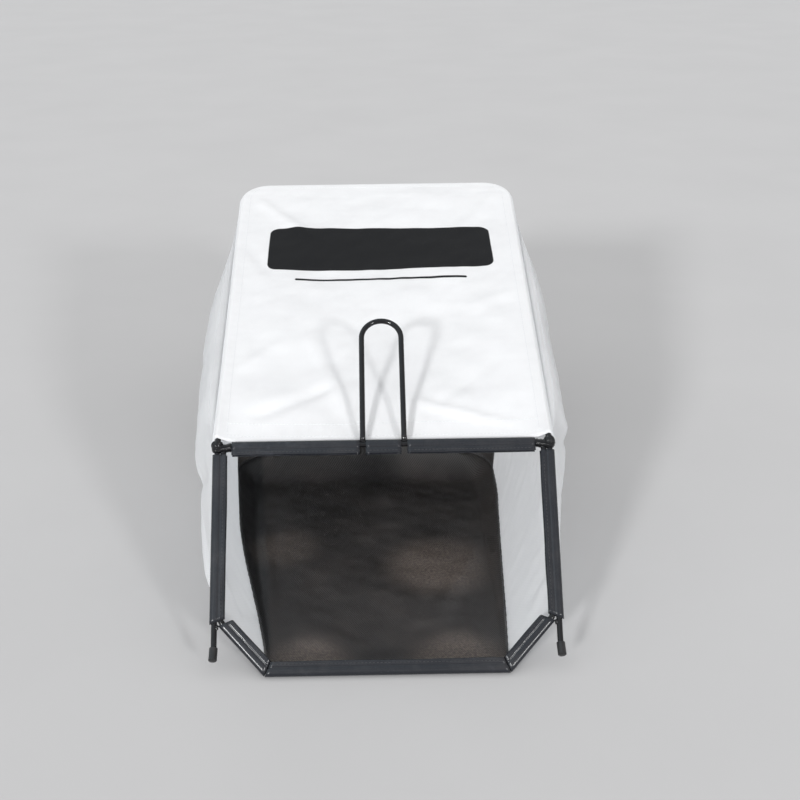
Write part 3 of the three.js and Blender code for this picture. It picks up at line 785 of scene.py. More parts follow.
def hoop_line():
    halves = []
    for sign in (1, -1):
        corners = [foot_tip(sign), on_mouth(sign * LEG_HALF, LEG_LENGTH),
                   on_mouth(sign * LEG_HALF, 0), on_rails(sign * REAR_HALF, RAIL_LENGTH)]
        front = bent_line(corners, [FOOT_RADIUS, SHOULDER_RADIUS])
        curve = rail_half["at"][RAIL_STEPS:]
        arc = on_rails(sign * curve[:, 0], curve[:, 1])
        keep = (front - TOP_BAR) @ RAIL_ALONG < curve[0, 1] - 0.004
        halves.append(np.vstack([front[keep], arc]))
    gap = np.linspace(0, 1, 26)[1:-1, None]
    rear = halves[0][-1] + (halves[1][-1] - halves[0][-1]) * gap
    return np.vstack([halves[0], rear, halves[1][::-1]])


HANDLE_ALONG = np.array([0.0, math.cos(HANDLE_ANGLE), math.sin(HANDLE_ANGLE)])
HANDLE_UP = np.array([0.0, -math.sin(HANDLE_ANGLE), math.cos(HANDLE_ANGLE)])


def handle_line():
    end = HANDLE_LENGTH - HANDLE_HALF - ROD
    turn = np.linspace(0, math.pi, 40)
    leg = np.full(12, HANDLE_HALF)
    x = np.concatenate([leg, HANDLE_HALF * np.cos(turn), -leg])
    start = np.linspace(ROD * 0.6, end, 13)[:-1]
    s = np.concatenate([start, end + HANDLE_HALF * np.sin(turn), start[::-1]])
    return spot(TOP_BAR, [(x, ACROSS), (s, HANDLE_ALONG)])


rods = {
    "mouth_loop": tube("rod_mouth_loop", mouth_line(), ROD, closed=True),
    "outer_hoop": tube("rod_outer_hoop", hoop_line(), ROD),
    "handle_loop": tube("rod_handle_loop", handle_line(), ROD),
}
print("rods:", {name: len(made.data.polygons) for name, made in rods.items()})

# %% [markdown]
# The piping is a tape folded over the raw edges and sewn down. A plain tube would look like cord.
# The tape is pulled in at each stitch, so the tube's thickness swells and shrinks a little along
# the seam.

# %% The pipings
def piping(name, line, seed):
    far = lengths_along(line)
    steps = np.linspace(0, far[-1], int(far[-1] / 0.004) + 1)
    swell = 1 + 0.05 * np.sin(2 * math.pi * steps / 0.012)
    swell = swell + 0.04 * waves(steps, steps * 0, seed, 5, 0.02, 0.09)
    return tube(name, looked_up(steps, far, line), PIPING * np.clip(swell, 0.86, 1.0), sides=12,
                domed=0.0006)


pipings = {
    "top_piping": piping("tape_top", top_line, 41),
    "floor_piping": piping("tape_floor", bottom_line, 42),
    "rear_piping_right": piping("tape_rear_right", wall[SEAM_PLACE][1:-1], 43),
    "rear_piping_left": piping("tape_rear_left", wall[LAST - SEAM_PLACE][1:-1], 44),
}

# %% [markdown]
# A vinyl channel is a U section that is snapped over a rod, with the cloth's edge sewn between its
# lips. A box with a slot would look stiff and sharp. The section is therefore a closed outline:
# round outside, along one lip, round its tip, and back along the inside. Past the rod a groove is
# pressed into each lip, where the vinyl grips the cloth.

# %% The channels
LIP_STEPS = 15
GROOVE_AT = 4.6 * MM
GROOVE_WIDE = 0.9 * MM
GROOVE_DEEP = 0.9 * MM


def pressed(s):
    return GROOVE_DEEP * math.exp(-((s - GROOVE_AT) / GROOVE_WIDE) ** 2)


def arc(centre, radius, first, last, count):
    angle = np.linspace(first, last, count)
    return np.column_stack([centre[0] + radius * np.cos(angle), centre[1] + radius * np.sin(angle)])


def lip_side(first, last, side, height, inward):
    """One face of a lip. Inward is 1 or -1 and says which way its groove is pressed."""
    s = np.linspace(first, last, LIP_STEPS) * LIP
    groove = np.array([pressed(x) for x in s])
    return np.column_stack([s, side * height + inward * groove])


def channel_outline():
    outer = CHANNEL
    inner = CHANNEL - WALL
    half_pi = math.pi / 2
    pieces = [arc((0, 0), outer, half_pi, 3 * half_pi, 19)]
    pieces.append(lip_side(0.15, 0.92, -1, outer, 1))
    pieces.append(arc((LIP - WALL / 2, -(outer + inner) / 2), WALL / 2, -half_pi, half_pi, 7))
    pieces.append(lip_side(0.92, 0.15, -1, inner, 1))
    pieces.append(arc((0, 0), inner, 3 * half_pi, half_pi, 15))
    pieces.append(lip_side(0.15, 0.92, 1, inner, -1))
    pieces.append(arc((LIP - WALL / 2, (outer + inner) / 2), WALL / 2, -half_pi, half_pi, 7))
    pieces.append(lip_side(0.92, 0.15, 1, outer, -1))
    return np.vstack(pieces)


OUTLINE = channel_outline()
print("points round a channel:", len(OUTLINE))

# %% [markdown]
# The channel is pushed out of a die and cut to length, so the outline is carried straight along the
# rod. Its ends could be cut square, but on the mouth the channels meet at mitres: each point of the
# outline starts and ends a little later, the further it lies from the rod. The lips wave a little,
# since soft vinyl never lies quite straight.

# %% Drawing a channel along a rod
def channel(name, start, end, start_slope, end_slope, seed):
    a = on_mouth(*start)
    b = on_mouth(*end)
    length = float(np.linalg.norm(b - a))
    run = (b - a) / length
    inward = unit(np.cross(BACK, run))
    through = np.cross(run, inward)
    steps = np.linspace(0, 1, max(6, int(length / 0.004)))
    off, side = OUTLINE[:, 0][None, :], OUTLINE[:, 1][None, :]
    z = steps[:, None] * (length - off * (start_slope + end_slope))
    z = z + off * start_slope
    lip = smooth((off - 0.003) / LIP)
    t = side + 0.0005 * lip * waves(z, z * 0, seed, 5, 0.03, 0.12)
    s = off + 0.0004 * lip * waves(z, z * 0 + 1, seed + 50, 4, 0.04, 0.15)
    points = spot(a, [(s, inward), (t, through), (z, run)])
    around = lengths_along(np.vstack([OUTLINE, OUTLINE[:1]]))[:-1]
    uvs = np.stack(np.broadcast_arrays(around[None, :], z), axis=-1)
    sides = len(OUTLINE)
    faces = grid_faces(len(steps), sides, wrap=True)
    last = (len(steps) - 1) * sides
    faces.append(tuple(range(sides))[::-1])
    faces.append(tuple(range(last, last + sides)))
    return make_object(name, points.reshape(-1, 3), faces, uvs.reshape(-1, 2))


# %% [markdown]
# On the real mouth eight channels stand end to end with small gaps, and the handle's feet pass
# between those of the top bar. One channel bent round the whole mouth would hide the rods'
# corners, so each gets its own start, end and mitres. UPPER and LOWER are the slopes of the mitres
# at the two ends of a cut corner.

# %% The channels' places
CUT_TURN = math.atan2(CUT_ACROSS, CUT_UP)
UPPER = math.tan(CUT_TURN / 2)
LOWER = math.tan((math.pi / 2 - CUT_TURN) / 2)
CHANNEL_GAP = 1.2 * MM


def channel_ends():
    inner = HANDLE_HALF + ROD + GAP
    between = HANDLE_HALF - ROD - GAP
    outer = LOOP_HALF - LOOP_RADIUS
    beyond = (LEG_HALF - LOOP_HALF) * UPPER - CHANNEL_GAP
    side_end = MOUTH_HEIGHT - CUT_UP + beyond
    overlap = LOOP_HALF + CHANNEL * math.cos(CUT_TURN) - (LEG_HALF - ROD)
    clear = (overlap + 0.001) / math.sin(CUT_TURN) + CHANNEL * UPPER
    clear = max(CHANNEL_GAP, clear)
    cut = np.array([-math.sin(CUT_TURN), math.cos(CUT_TURN)])
    high = np.array([LOOP_HALF, MOUTH_HEIGHT - CUT_UP]) + cut * clear
    low_corner = np.array([LOOP_HALF - CUT_ACROSS, MOUTH_HEIGHT])
    low = low_corner - cut * CHANNEL_GAP / 2
    half = low_corner[0] - CHANNEL_GAP / 2
    return {
        "top_channel_right": ((inner, 0), (outer, 0), 0, 0),
        "top_channel_left": ((-outer, 0), (-inner, 0), 0, 0),
        "top_channel_middle": ((-between, 0), (between, 0), 0, 0),
        "side_channel_right": ((LEG_HALF, CHANNEL_TOP), (LEG_HALF, side_end), 0, UPPER),
        "side_channel_left": ((-LEG_HALF, side_end), (-LEG_HALF, CHANNEL_TOP), UPPER, 0),
        "corner_channel_right": (tuple(high), tuple(low), UPPER, LOWER),
        "corner_channel_left": ((-low[0], low[1]), (-high[0], high[1]), LOWER, UPPER),
        "bottom_channel": ((half, MOUTH_HEIGHT), (-half, MOUTH_HEIGHT), LOWER, LOWER),
    }


channels = {}
for number, (name, (start, end, one, two)) in enumerate(channel_ends().items()):
    channels[name] = channel("vinyl_" + name, start, end, one, two, 60 + number)
print("channels:", len(channels))

# %% [markdown]
# The real parts hang together, and here each new mesh is tied to the CAD part it stands for. It says
# which body it rides on and hides the node it replaces, and SLOTS says which finish it takes. Names
# alone could carry that.

SLOTS = {
    "mouth_loop": "black_steel", "outer_hoop": "black_steel", "handle_loop": "black_steel",
    "top_panel": "white_fabric", "side_panel_right": "white_fabric", "side_panel_left": "white_fabric",
    "rear_panel": "black_fabric", "floor_panel": "black_fabric",
    "top_piping": "white_piping", "floor_piping": "black_piping",
    "rear_piping_right": "black_piping", "rear_piping_left": "black_piping",
}
made_pieces = {**rods, **cloth, **pipings, **channels}
for node, made in made_pieces.items():
    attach(made, "root")
    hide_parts(node)

# %% [markdown]
# Stitches are short bits of thread that lie on the surface. A texture could draw them, but real
# ones stand proud and throw a tiny shadow. One small capsule is copied along a line, and all
# copies are joined into one mesh, which is far lighter than hundreds of objects.

# %% Stitches
def capsule(length, radius, sides=6):
    along = np.array([-0.5, -0.42, -0.2, 0.2, 0.42, 0.5]) * length
    sink = np.array([-0.9, -0.2, 0.25, 0.25, -0.2, -0.9]) * radius
    size = np.array([0.35, 0.85, 1.0, 1.0, 0.85, 0.35]) * radius
    turn = np.linspace(0, 2 * math.pi, sides, endpoint=False)
    points = []
    for a, low, r in zip(along, sink, size):
        for t in turn:
            points.append((a, r * math.cos(t), low + r * math.sin(t)))
    faces = grid_faces(len(along), sides, wrap=True)
    faces.append(tuple(range(sides))[::-1])
    faces.append(tuple(range(len(points) - sides, len(points))))
    return np.array(points), faces


STITCH_PITCH = 0.0042
STITCH_LENGTH = 0.0030
THREAD_RADIUS = 0.00032


def stitches(name, rows):
    """Each row is a line of points and the outward direction at each of them."""
    shape, faces = capsule(STITCH_LENGTH, THREAD_RADIUS)
    points = []
    all_faces = []
    dice = np.random.default_rng(70)
    for line, out in rows:
        far = lengths_along(line)
        places = np.arange(STITCH_PITCH, far[-1] - STITCH_PITCH / 2, STITCH_PITCH)
        at = looked_up(places, far, line)
        ahead = unit(looked_up(places + 0.001, far, line) - at)
        lift = looked_up(places, far, out)
        lift = unit(lift - ahead * (lift * ahead).sum(axis=1)[:, None])
        side = np.cross(lift, ahead)
        for centre, a, s, up in zip(at, ahead, side, lift):
            slant = dice.normal(0, 0.05)
            a2 = a * math.cos(slant) + s * math.sin(slant)
            s2 = s * math.cos(slant) - a * math.sin(slant)
            start = len(points) * len(shape)
            points.append(centre + shape @ np.array([a2, s2, up]))
            all_faces += [tuple(start + i for i in face) for face in faces]
    points = np.vstack(points)
    print(name, "stitches:", len(points) // len(shape))
    return make_object(name, points, all_faces, points[:, :2])


# %% [markdown]
# A real seam follows the cloth's edge at a few millimetres, over every fold. Lines drawn by hand
# would sink into the cloth here and float there, so each stitch line is looked up on the cloth's
# own grid. It needs the grid's points and their outward directions, which come from the cross
# product of the grid's two edges.

# %% Where the stitches run
def grid_normals(points):
    return unit(np.cross(np.gradient(points, axis=0), np.gradient(points, axis=1)))


def picked(points, normals, value, wanted, axis):
    """A line through a grid where value reaches wanted, looked up along the given axis."""
    if axis == 0:
        points = points.transpose(1, 0, 2)
        normals = normals.transpose(1, 0, 2)
        value = value.T
    line = []
    out = []
    for p, n, t in zip(points, normals, value):
        line.append([np.interp(wanted, t, p[:, k]) for k in range(3)])
        out.append([np.interp(wanted, t, n[:, k]) for k in range(3)])
    return np.array(line), np.array(out)


def on_cloth(line, out):
    return line + unit(out) * (CLOTH / 2 + 0.0001), out


def top_row(q, ends):
    line, out = picked(top, top_normals, top_q, q, axis=0)
    middle = slice(ROLL + ends, ROLL + TOP_COLUMNS + 1 - ends)
    return on_cloth(line[middle], out[middle])


def wall_low_row(part):
    """The line 5 mm above the lower seam, over one part of the wall."""
    above = (wall_high[part] - wall_v[part])[:, ::-1]
    return on_cloth(*picked(wall[part][:, ::-1], wall_normals[part][:, ::-1], above, 0.005, axis=1))


top_normals = grid_normals(top)
top_normals = top_normals * np.sign((top_normals @ RAIL_UP).sum())
wall_normals = grid_normals(wall)
wall_normals = wall_normals * np.sign((wall_normals * wall_out[:, None, :]).sum())
white_rows = [top_row(rail_start + distance, 2) for distance in (0.0075, 0.0275)]
for column in (ROLL + 3, ROLL + TOP_COLUMNS - 3):
    white_rows.append(on_cloth(top[2:-8, column], top_normals[2:-8, column]))
white_rows.append(top_row(RAIL_LENGTH - 0.008, 16))
for part in (slice(3, SEAM_PLACE - 2), slice(LAST - SEAM_PLACE + 3, LAST - 2)):
    white_rows.append(on_cloth(wall[part, 1], wall_normals[part, 1]))
    white_rows.append(wall_low_row(part))
white_thread = stitches("thread_white", white_rows)

# %% [markdown]
# The channels are sewn through both lips, so a row of dark thread runs along each one, and the
# black cloth has a row beside its seams. Dark and white thread could share one mesh with two
# materials. Two meshes are simpler, since each then has one finish.

# %% Dark thread
def channel_row(start, end):
    steps = np.linspace(0.03, 0.97, 40)[:, None]
    a = on_mouth(*start)
    b = on_mouth(*end)
    inward = unit(np.cross(BACK, b - a))
    line = a + (b - a) * steps + inward * (LIP * 0.72) - BACK * (CHANNEL + 0.0001)
    return line, np.tile(-BACK, (len(steps), 1))


black_rows = [channel_row(start, end) for start, end, _, _ in channel_ends().values()]
rear_part = slice(SEAM_PLACE + 2, LAST - SEAM_PLACE - 1)
black_rows.append(on_cloth(wall[rear_part, 2], wall_normals[rear_part, 2]))
black_rows.append(wall_low_row(rear_part))
black_thread = stitches("thread_black", black_rows)

# %% [markdown]
# Weld beads join the rods: round the feet of the handle, along both legs below the channels, and
# at the upper corners, where a thick lump sits behind a smaller bead. Sculpting them by hand would
# take long. A bead is made as a short lumpy tube that overlaps both rods, and its ripples are those
# of a weld laid in small steps.

# %% Weld beads
def bead(name, line, radius, seed, blunt=6):
    far = lengths_along(line)
    steps = np.linspace(0, far[-1], max(14, int(far[-1] / 0.0004)))
    share = steps / far[-1]
    size = radius * np.sqrt(np.clip(1 - np.abs(2 * share - 1) ** blunt, 0.02, 1))
    size = size * (1 + 0.10 * np.sin(2 * math.pi * steps / 0.0016))
    size = size * (1 + 0.05 * waves(steps, steps * 0, seed, 4, 0.003, 0.01))
    return tube(name, looked_up(steps, far, line), size, sides=14, domed=0.0002)


def handle_ring(side):
    """Most of a circle round a foot of the handle, dipping where it meets the top bar."""
    turn = np.linspace(-0.35 * math.pi, 1.35 * math.pi, 30)
    foot = TOP_BAR + ACROSS * side * HANDLE_HALF + HANDLE_ALONG * (ROD + 0.0004)
    dip = -0.0012 * np.cos(turn - math.pi / 2) ** 2
    return spot(foot, [(ROD * np.cos(turn), ACROSS), (ROD * np.sin(turn), HANDLE_UP),
                       (dip, HANDLE_ALONG)])


welds = []
for number, (name, side) in enumerate((("right", 1), ("left", -1))):
    welds.append(bead("weld_handle_" + name, handle_ring(side), 0.0012, 80 + number))
    middle = np.full(12, side * (LEG_HALF + LOOP_HALF) / 2)
    leg = on_mouth(middle, np.linspace(0.2005, 0.2065, 12), -ROD * 0.55)
    welds.append(bead("weld_leg_" + name, leg, 0.0017, 84 + number))
    shoulder = on_mouth(side * np.linspace(LOOP_HALF - 0.0125, LEG_HALF - 0.001, 16),
                        np.linspace(0.0008, 0.0035, 16), -0.0004)
    welds.append(bead("weld_shoulder_" + name, shoulder, 0.0050, 88 + number))
    knob = bent_line([on_mouth(side * LEG_HALF, 0.0088), on_mouth(side * LEG_HALF, 0.0),
                      on_rails(side * LEG_HALF, 0.0075)], [0.006], spacing=0.001)
    welds.append(bead("weld_knob_" + name, knob, 0.0064, 92 + number, blunt=2.6))
print("weld beads:", len(welds))

# %% [markdown]
# Thread and weld beads have no node of their own in the CAD part. They could be joined to the
# pieces they sit on, but separate meshes are easier to finish. So they only say which body they
# ride on and which finish they take.

extras = [(made, "black_steel") for made in welds]
extras += [(white_thread, "white_fabric"), (black_thread, "black_fabric")]
for made, slot_name in extras:
    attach(made, "root")
print("pieces without a node:", len(extras))

# %% [markdown]
# A finish such as worn paint is a small graph of nodes. It could be wired by hand in the shader
# editor, but a script can be read and run again. These helpers add a node, set its inputs and link
# it in one line. An effect that several materials use is made once, as a node group.

# %% Node helpers
def connect(tree, made, inputs):
    """Sets each input to its value, or links it where the value comes from another node."""
    for key, value in inputs.items():
        if isinstance(value, bpy.types.NodeSocket):
            tree.links.new(value, made.inputs[key])
        else:
            made.inputs[key].default_value = value


def add_node(tree, kind, inputs=None, **settings):
    made = tree.nodes.new(kind)
    for key, value in settings.items():
        setattr(made, key, value)
    connect(tree, made, inputs or {})
    return made


def maths(tree, operation, one, two=0.0):
    return add_node(tree, "ShaderNodeMath", {0: one, 1: two}, operation=operation).outputs[0]


def split(tree, vector):
    """The x, y and z of a vector."""
    return add_node(tree, "ShaderNodeSeparateXYZ", {0: vector}).outputs


def mapped(tree, value, low, high, to_low=0.0, to_high=1.0):
    made = add_node(tree, "ShaderNodeMapRange", {"Value": value, "From Min": low, "From Max": high,
                                                 "To Min": to_low, "To Max": to_high},
                    interpolation_type="SMOOTHSTEP")
    return made.outputs[0]


def noise(tree, vector, scale, detail=3.0, roughness=0.55):
    made = add_node(tree, "ShaderNodeTexNoise", {"Vector": vector, "Scale": scale, "Detail": detail,
                                                 "Roughness": roughness})
    return made.outputs["Fac"]


def blend_colour(tree, share, one, two):
    made = add_node(tree, "ShaderNodeMix", {"Factor": share, "A": one, "B": two}, data_type="RGBA")
    return made.outputs["Result"]


def new_group(name, inputs, outputs):
    tree = bpy.data.node_groups.new(name, "ShaderNodeTree")
    for label, kind, value in inputs:
        socket = tree.interface.new_socket(name=label, in_out="INPUT", socket_type=kind)
        if value is not None:
            socket.default_value = value
    for label in outputs:
        tree.interface.new_socket(name=label, in_out="OUTPUT", socket_type="NodeSocketFloat")
    return tree, tree.nodes.new("NodeGroupInput"), tree.nodes.new("NodeGroupOutput")


def use_group(tree, group, **inputs):
    """Places a group in a graph and gives back its one output."""
    return add_node(tree, "ShaderNodeGroup", inputs, node_tree=group).outputs[0]


# %% [markdown]
# The white cloth is a plain weave, two sets of threads that pass over and under each other. The
# black cloth is a twill, which steps sideways by one thread in each row, so its ribs run slantwise.
# Photographs of cloth could show both, but they end at a pixel and repeat. Products and sums of
# sine waves give the same patterns at any size.

# %% Weave and twill groups
def weave_group():
    sockets = [("Vector", "NodeSocketVector", None), ("Spacing", "NodeSocketFloat", 0.0012)]
    tree, start, end = new_group("plain weave", sockets, ["Height"])
    parts = split(tree, start.outputs["Vector"])
    fibre = noise(tree, start.outputs["Vector"], 260.0, 2.0)
    waver = maths(tree, "MULTIPLY", maths(tree, "SUBTRACT", fibre, 0.5), 0.0006)
    turns = []
    for axis in (0, 1):
        place = maths(tree, "ADD", parts[axis], waver)
        place = maths(tree, "DIVIDE", place, start.outputs["Spacing"])
        turns.append(maths(tree, "SINE", maths(tree, "MULTIPLY", place, math.pi)))
    both = maths(tree, "MULTIPLY", turns[0], turns[1])
    tree.links.new(mapped(tree, both, -1.0, 1.0), end.inputs["Height"])
    return tree


def twill_group():
    sockets = [("Vector", "NodeSocketVector", None), ("Spacing", "NodeSocketFloat", 0.0024)]
    tree, start, end = new_group("twill", sockets, ["Height"])
    parts = split(tree, start.outputs["Vector"])
    fibre = noise(tree, start.outputs["Vector"], 180.0, 2.0)
    waver = maths(tree, "MULTIPLY", maths(tree, "SUBTRACT", fibre, 0.5), 0.0016)
    slant = maths(tree, "ADD", parts[0], maths(tree, "MULTIPLY", parts[1], 0.6))
    slant = maths(tree, "DIVIDE", maths(tree, "ADD", slant, waver), start.outputs["Spacing"])
    ribs = maths(tree, "SINE", maths(tree, "MULTIPLY", slant, 2 * math.pi))
    cross = maths(tree, "DIVIDE", parts[1], start.outputs["Spacing"])
    cross = maths(tree, "SINE", maths(tree, "MULTIPLY", cross, 4 * math.pi))
    both = maths(tree, "ADD", ribs, maths(tree, "MULTIPLY", cross, 0.35))
    tree.links.new(mapped(tree, both, -1.3, 1.3), end.inputs["Height"])
    return tree


weave = weave_group()
twill = twill_group()
print("cloth groups:", weave.name, "and", twill.name)

# %% [markdown]
# Paint and vinyl get scuffed, and grass dust settles on everything. Both could be painted by hand
# on each piece. A mask made from noise does it for all of them: for scuffs the noise is cut off so
# that only its peaks are left, and dust is softer, and stronger where a surface faces up.

# %% Wear and dust groups
def mask_sockets(scale, amount):
    return [("Vector", "NodeSocketVector", None), ("Scale", "NodeSocketFloat", scale),
            ("Amount", "NodeSocketFloat", amount)]


def wear_group():
    tree, start, end = new_group("scuffs", mask_sockets(90.0, 0.3), ["Mask"])
    fine = noise(tree, start.outputs["Vector"], start.outputs["Scale"], 6.0, 0.7)
    wide_scale = maths(tree, "MULTIPLY", start.outputs["Scale"], 0.12)
    wide = noise(tree, start.outputs["Vector"], wide_scale, 2.0)
    cut = mapped(tree, maths(tree, "MULTIPLY", fine, wide), 0.30, 0.46)
    tree.links.new(maths(tree, "MULTIPLY", cut, start.outputs["Amount"]), end.inputs["Mask"])
    return tree


def dust_group():
    tree, start, end = new_group("dust", mask_sockets(14.0, 0.25), ["Mask"])
    facing = add_node(tree, "ShaderNodeNewGeometry")
    parts = split(tree, facing.outputs["Normal"])
    upward = mapped(tree, parts[2], -0.2, 0.9)
    cloud = noise(tree, start.outputs["Vector"], start.outputs["Scale"], 7.0, 0.68)
    cloud = mapped(tree, cloud, 0.42, 0.70)
    both = maths(tree, "MULTIPLY", cloud, upward)
    tree.links.new(maths(tree, "MULTIPLY", both, start.outputs["Amount"]), end.inputs["Mask"])
    return tree


wear = wear_group()
dust = dust_group()
print("mask groups:", wear.name, "and", dust.name)

# %% [markdown]
# Cloth, paint and vinyl can all be made from one Principled shader with its own values. Each
# material needs a place to look up its patterns: the "cloth" UV map in metres, or the position in
# space for rods and threads, where a map would show its seam.

# %% Material helpers
def new_material(name):
    made = bpy.data.materials.new(name)
    made.use_nodes = True
    tree = made.node_tree
    tree.nodes.clear()
    out = tree.nodes.new("ShaderNodeOutputMaterial")
    shader = tree.nodes.new("ShaderNodeBsdfPrincipled")
    tree.links.new(shader.outputs[0], out.inputs["Surface"])
    return made, tree, shader


def cloth_map(tree):
    return add_node(tree, "ShaderNodeUVMap", uv_map="cloth").outputs[0]


def position(tree):
    return add_node(tree, "ShaderNodeTexCoord").outputs["Object"]


def set_bump(tree, shader, height, distance, strength=1.0):
    made = add_node(tree, "ShaderNodeBump", {"Height": height, "Distance": distance,
                                             "Strength": strength})
    connect(tree, shader, {"Normal": made.outputs[0]})


def see_through_light(tree, shader, colour, share):
    """Lets some light pass through thin cloth, so that it glows a little when lit from behind."""
    surface = shader.outputs[0].links[0].to_socket
    glow = add_node(tree, "ShaderNodeBsdfTranslucent", {"Color": colour})
    both = add_node(tree, "ShaderNodeMixShader", {0: share, 1: shader.outputs[0], 2: glow.outputs[0]})
    tree.links.new(both.outputs[0], surface)

# %% [markdown]
# On the top a plain charcoal band with rounded corners is printed, with a thin line in front of it.
# A strip of mesh laid on the cloth would stand out from it. The print is a mask instead, worked out
# from the UV map: the distance to a box with round corners. Its edge stays sharp at any size.

# %% The print's mask
def rounded_box(tree, vector, centre, half, radius, soft=0.0006):
    parts = split(tree, vector)
    over = []
    for axis in (0, 1):
        away = maths(tree, "ABSOLUTE", maths(tree, "SUBTRACT", parts[axis], centre[axis]))
        past = maths(tree, "SUBTRACT", away, half[axis] - radius)
        over.append(maths(tree, "MAXIMUM", past, 0.0))
    squares = maths(tree, "ADD", maths(tree, "MULTIPLY", over[0], over[0]),
                    maths(tree, "MULTIPLY", over[1], over[1]))
    distance = maths(tree, "SQRT", squares)
    return mapped(tree, distance, radius + soft, radius - soft)


BAND_HALF = (0.158, 0.052)


def print_mask(tree, uv):
    band = rounded_box(tree, uv, (0.003, 0.410), BAND_HALF, 0.014)
    line = rounded_box(tree, uv, (0.003, 0.334), (0.118, 0.0024), 0.0023)
    ink = maths(tree, "MAXIMUM", band, line)
    speck = noise(tree, uv, 900.0, 2.0)
    return maths(tree, "MULTIPLY", ink, mapped(tree, speck, 0.18, 0.34, 0.82, 1.0))


print("half the printed band:", BAND_HALF, "m")

# %% [markdown]
# The white cloth is a tight weave, a little grey where it has been handled, and thin enough to let
# some light through. A plain white shader would look like card. Threads that differ in colour and
# height, a trace of fuzz and a share of translucent light make it read as cloth. The side walls let
# more light pass, as the photograph shows inside the mouth, and their white is made paler than the
# top's as painted light, which brightens their shaded inner side.

# %% White cloth
def white_cloth(name, printed):
    made, tree, shader = new_material(name)
    uv = cloth_map(tree)
    threads = use_group(tree, weave, Vector=uv, Spacing=0.0011)
    dirt = use_group(tree, dust, Vector=uv, Scale=9.0, Amount=0.14)
    # Painted light: the side walls' white is paler than the top's, to brighten their shaded inner
    # side.
    low = (0.82, 0.83, 0.845, 1) if printed else (0.88, 0.885, 0.895, 1)
    high = (0.90, 0.905, 0.915, 1) if printed else (0.935, 0.94, 0.945, 1)
    base = blend_colour(tree, threads, low, high)
    base = blend_colour(tree, dirt, base, (0.60, 0.60, 0.62, 1))
    if printed:
        base = blend_colour(tree, print_mask(tree, uv), base, (0.010, 0.0105, 0.012, 1))
    connect(tree, shader, {"Base Color": base, "Roughness": 0.82, "Specular IOR Level": 0.25,
                           "Sheen Weight": 0.03})
    fuzz = noise(tree, uv, 1500.0, 2.0)
    height = maths(tree, "ADD", threads, maths(tree, "MULTIPLY", fuzz, 0.4))
    set_bump(tree, shader, height, 0.00016, 0.8)
    see_through_light(tree, shader, base, 0.30 if printed else 0.62)
    return made


white_top = white_cloth("white cloth with print", True)
white_side_brightened = white_cloth("white cloth", False)
print("white cloths:", white_top.name, "and", white_side_brightened.name)

# %% [markdown]
# The floor is painted paler in four places, as painted sheen: a reflection of the bright inside of
# the bag in the coated cloth. Those marks could be painted on a texture, but this file keeps to
# masks. Each spot is a soft round one, worked out from the distance to its centre, and noise breaks
# it up later.

# %% Painted sheen spots
# Places, sizes and strengths of the painted sheen on the floor.
PAINTED_SHEEN_SPOTS = [(-0.126, 0.250, 0.060, 0.45), (0.066, 0.205, 0.088, 0.66),
          (-0.090, 0.012, 0.066, 0.62), (0.080, 0.008, 0.080, 0.66)]


def soft_spot(tree, vector, x, y, size, strength):
    parts = split(tree, vector)
    squares = []
    for axis, centre in ((0, x), (1, y)):
        away = maths(tree, "DIVIDE", maths(tree, "SUBTRACT", parts[axis], centre), size)
        squares.append(maths(tree, "MULTIPLY", away, away))
    soft = mapped(tree, maths(tree, "ADD", squares[0], squares[1]), 1.0, 0.0)
    core = maths(tree, "ADD", maths(tree, "MULTIPLY", soft, 0.95), 0.20)
    return maths(tree, "MULTIPLY", maths(tree, "MULTIPLY", soft, core), strength)


print("rubbed spots:", len(PAINTED_SHEEN_SPOTS))

# %% [markdown]
# The rear and the floor are a heavier black cloth with a thin coat, which makes it shine softly.
# Plain black would swallow its ribs, so they differ in colour. Grass dust together with painted
# sheen gives it a brown tint in places, and the strip left of the floor's long crease is painted
# darker, as painted shade.

# %% Black coated cloth
def black_cloth():
    made, tree, shader = new_material("black coated cloth")
    uv = cloth_map(tree)
    ribs = use_group(tree, twill, Vector=uv, Spacing=0.0026)
    # Grass dust and painted sheen: the dust mask mixes a brown tint into the black cloth.
    dirt = use_group(tree, dust, Vector=uv, Scale=13.0, Amount=0.22)
    base = blend_colour(tree, ribs, (0.0195, 0.0178, 0.0172, 1), (0.036, 0.0328, 0.0315, 1))
    base = blend_colour(tree, dirt, base, (0.095, 0.078, 0.070, 1))
    parts = split(tree, uv)
    # Painted shade: the strip left of the floor's long crease gets a darker colour.
    crease = maths(tree, "ADD", parts[0], maths(tree, "MULTIPLY", parts[1], 0.1))
    beyond = mapped(tree, crease, -0.131, -0.122)
    base = blend_colour(tree, beyond, (0.0095, 0.0095, 0.0100, 1), base)
    # Painted sheen: four soft paler spots stand in for the reflection of light on the coated cloth.
    painted_sheen = 0.0
    for x, y, size, strength in PAINTED_SHEEN_SPOTS:
        painted_sheen = maths(tree, "MAXIMUM", soft_spot(tree, uv, x, y, size, strength), painted_sheen)
    grain = mapped(tree, noise(tree, uv, 300.0, 5.0, 0.75), 0.36, 0.66, 0.12, 1.0)
    painted_sheen = maths(tree, "MULTIPLY", maths(tree, "MULTIPLY", painted_sheen, grain),
                   mapped(tree, ribs, 0.0, 1.0, 0.55, 1.0))
    # The brown colour of the painted sheen.
    base = blend_colour(tree, painted_sheen, base, (0.270, 0.215, 0.180, 1))
    connect(tree, shader, {"Base Color": base})
    rough = mapped(tree, noise(tree, uv, 26.0, 4.0), 0.3, 0.7, 0.32, 0.50)
    connect(tree, shader, {"Roughness": rough, "Specular IOR Level": 0.6})
    set_bump(tree, shader, ribs, 0.00032, 0.8)
    return made


black_fabric = black_cloth()
print("black cloth:", black_fabric.name)

# %% [markdown]
# The rods are coated in gloss black, with the slight orange peel of sprayed paint, and the welds
# under it are rougher. A mirror-smooth black would look like glass. A low noise in the bump gives
# the peel, and small scuffs are paler and duller than the paint around them.

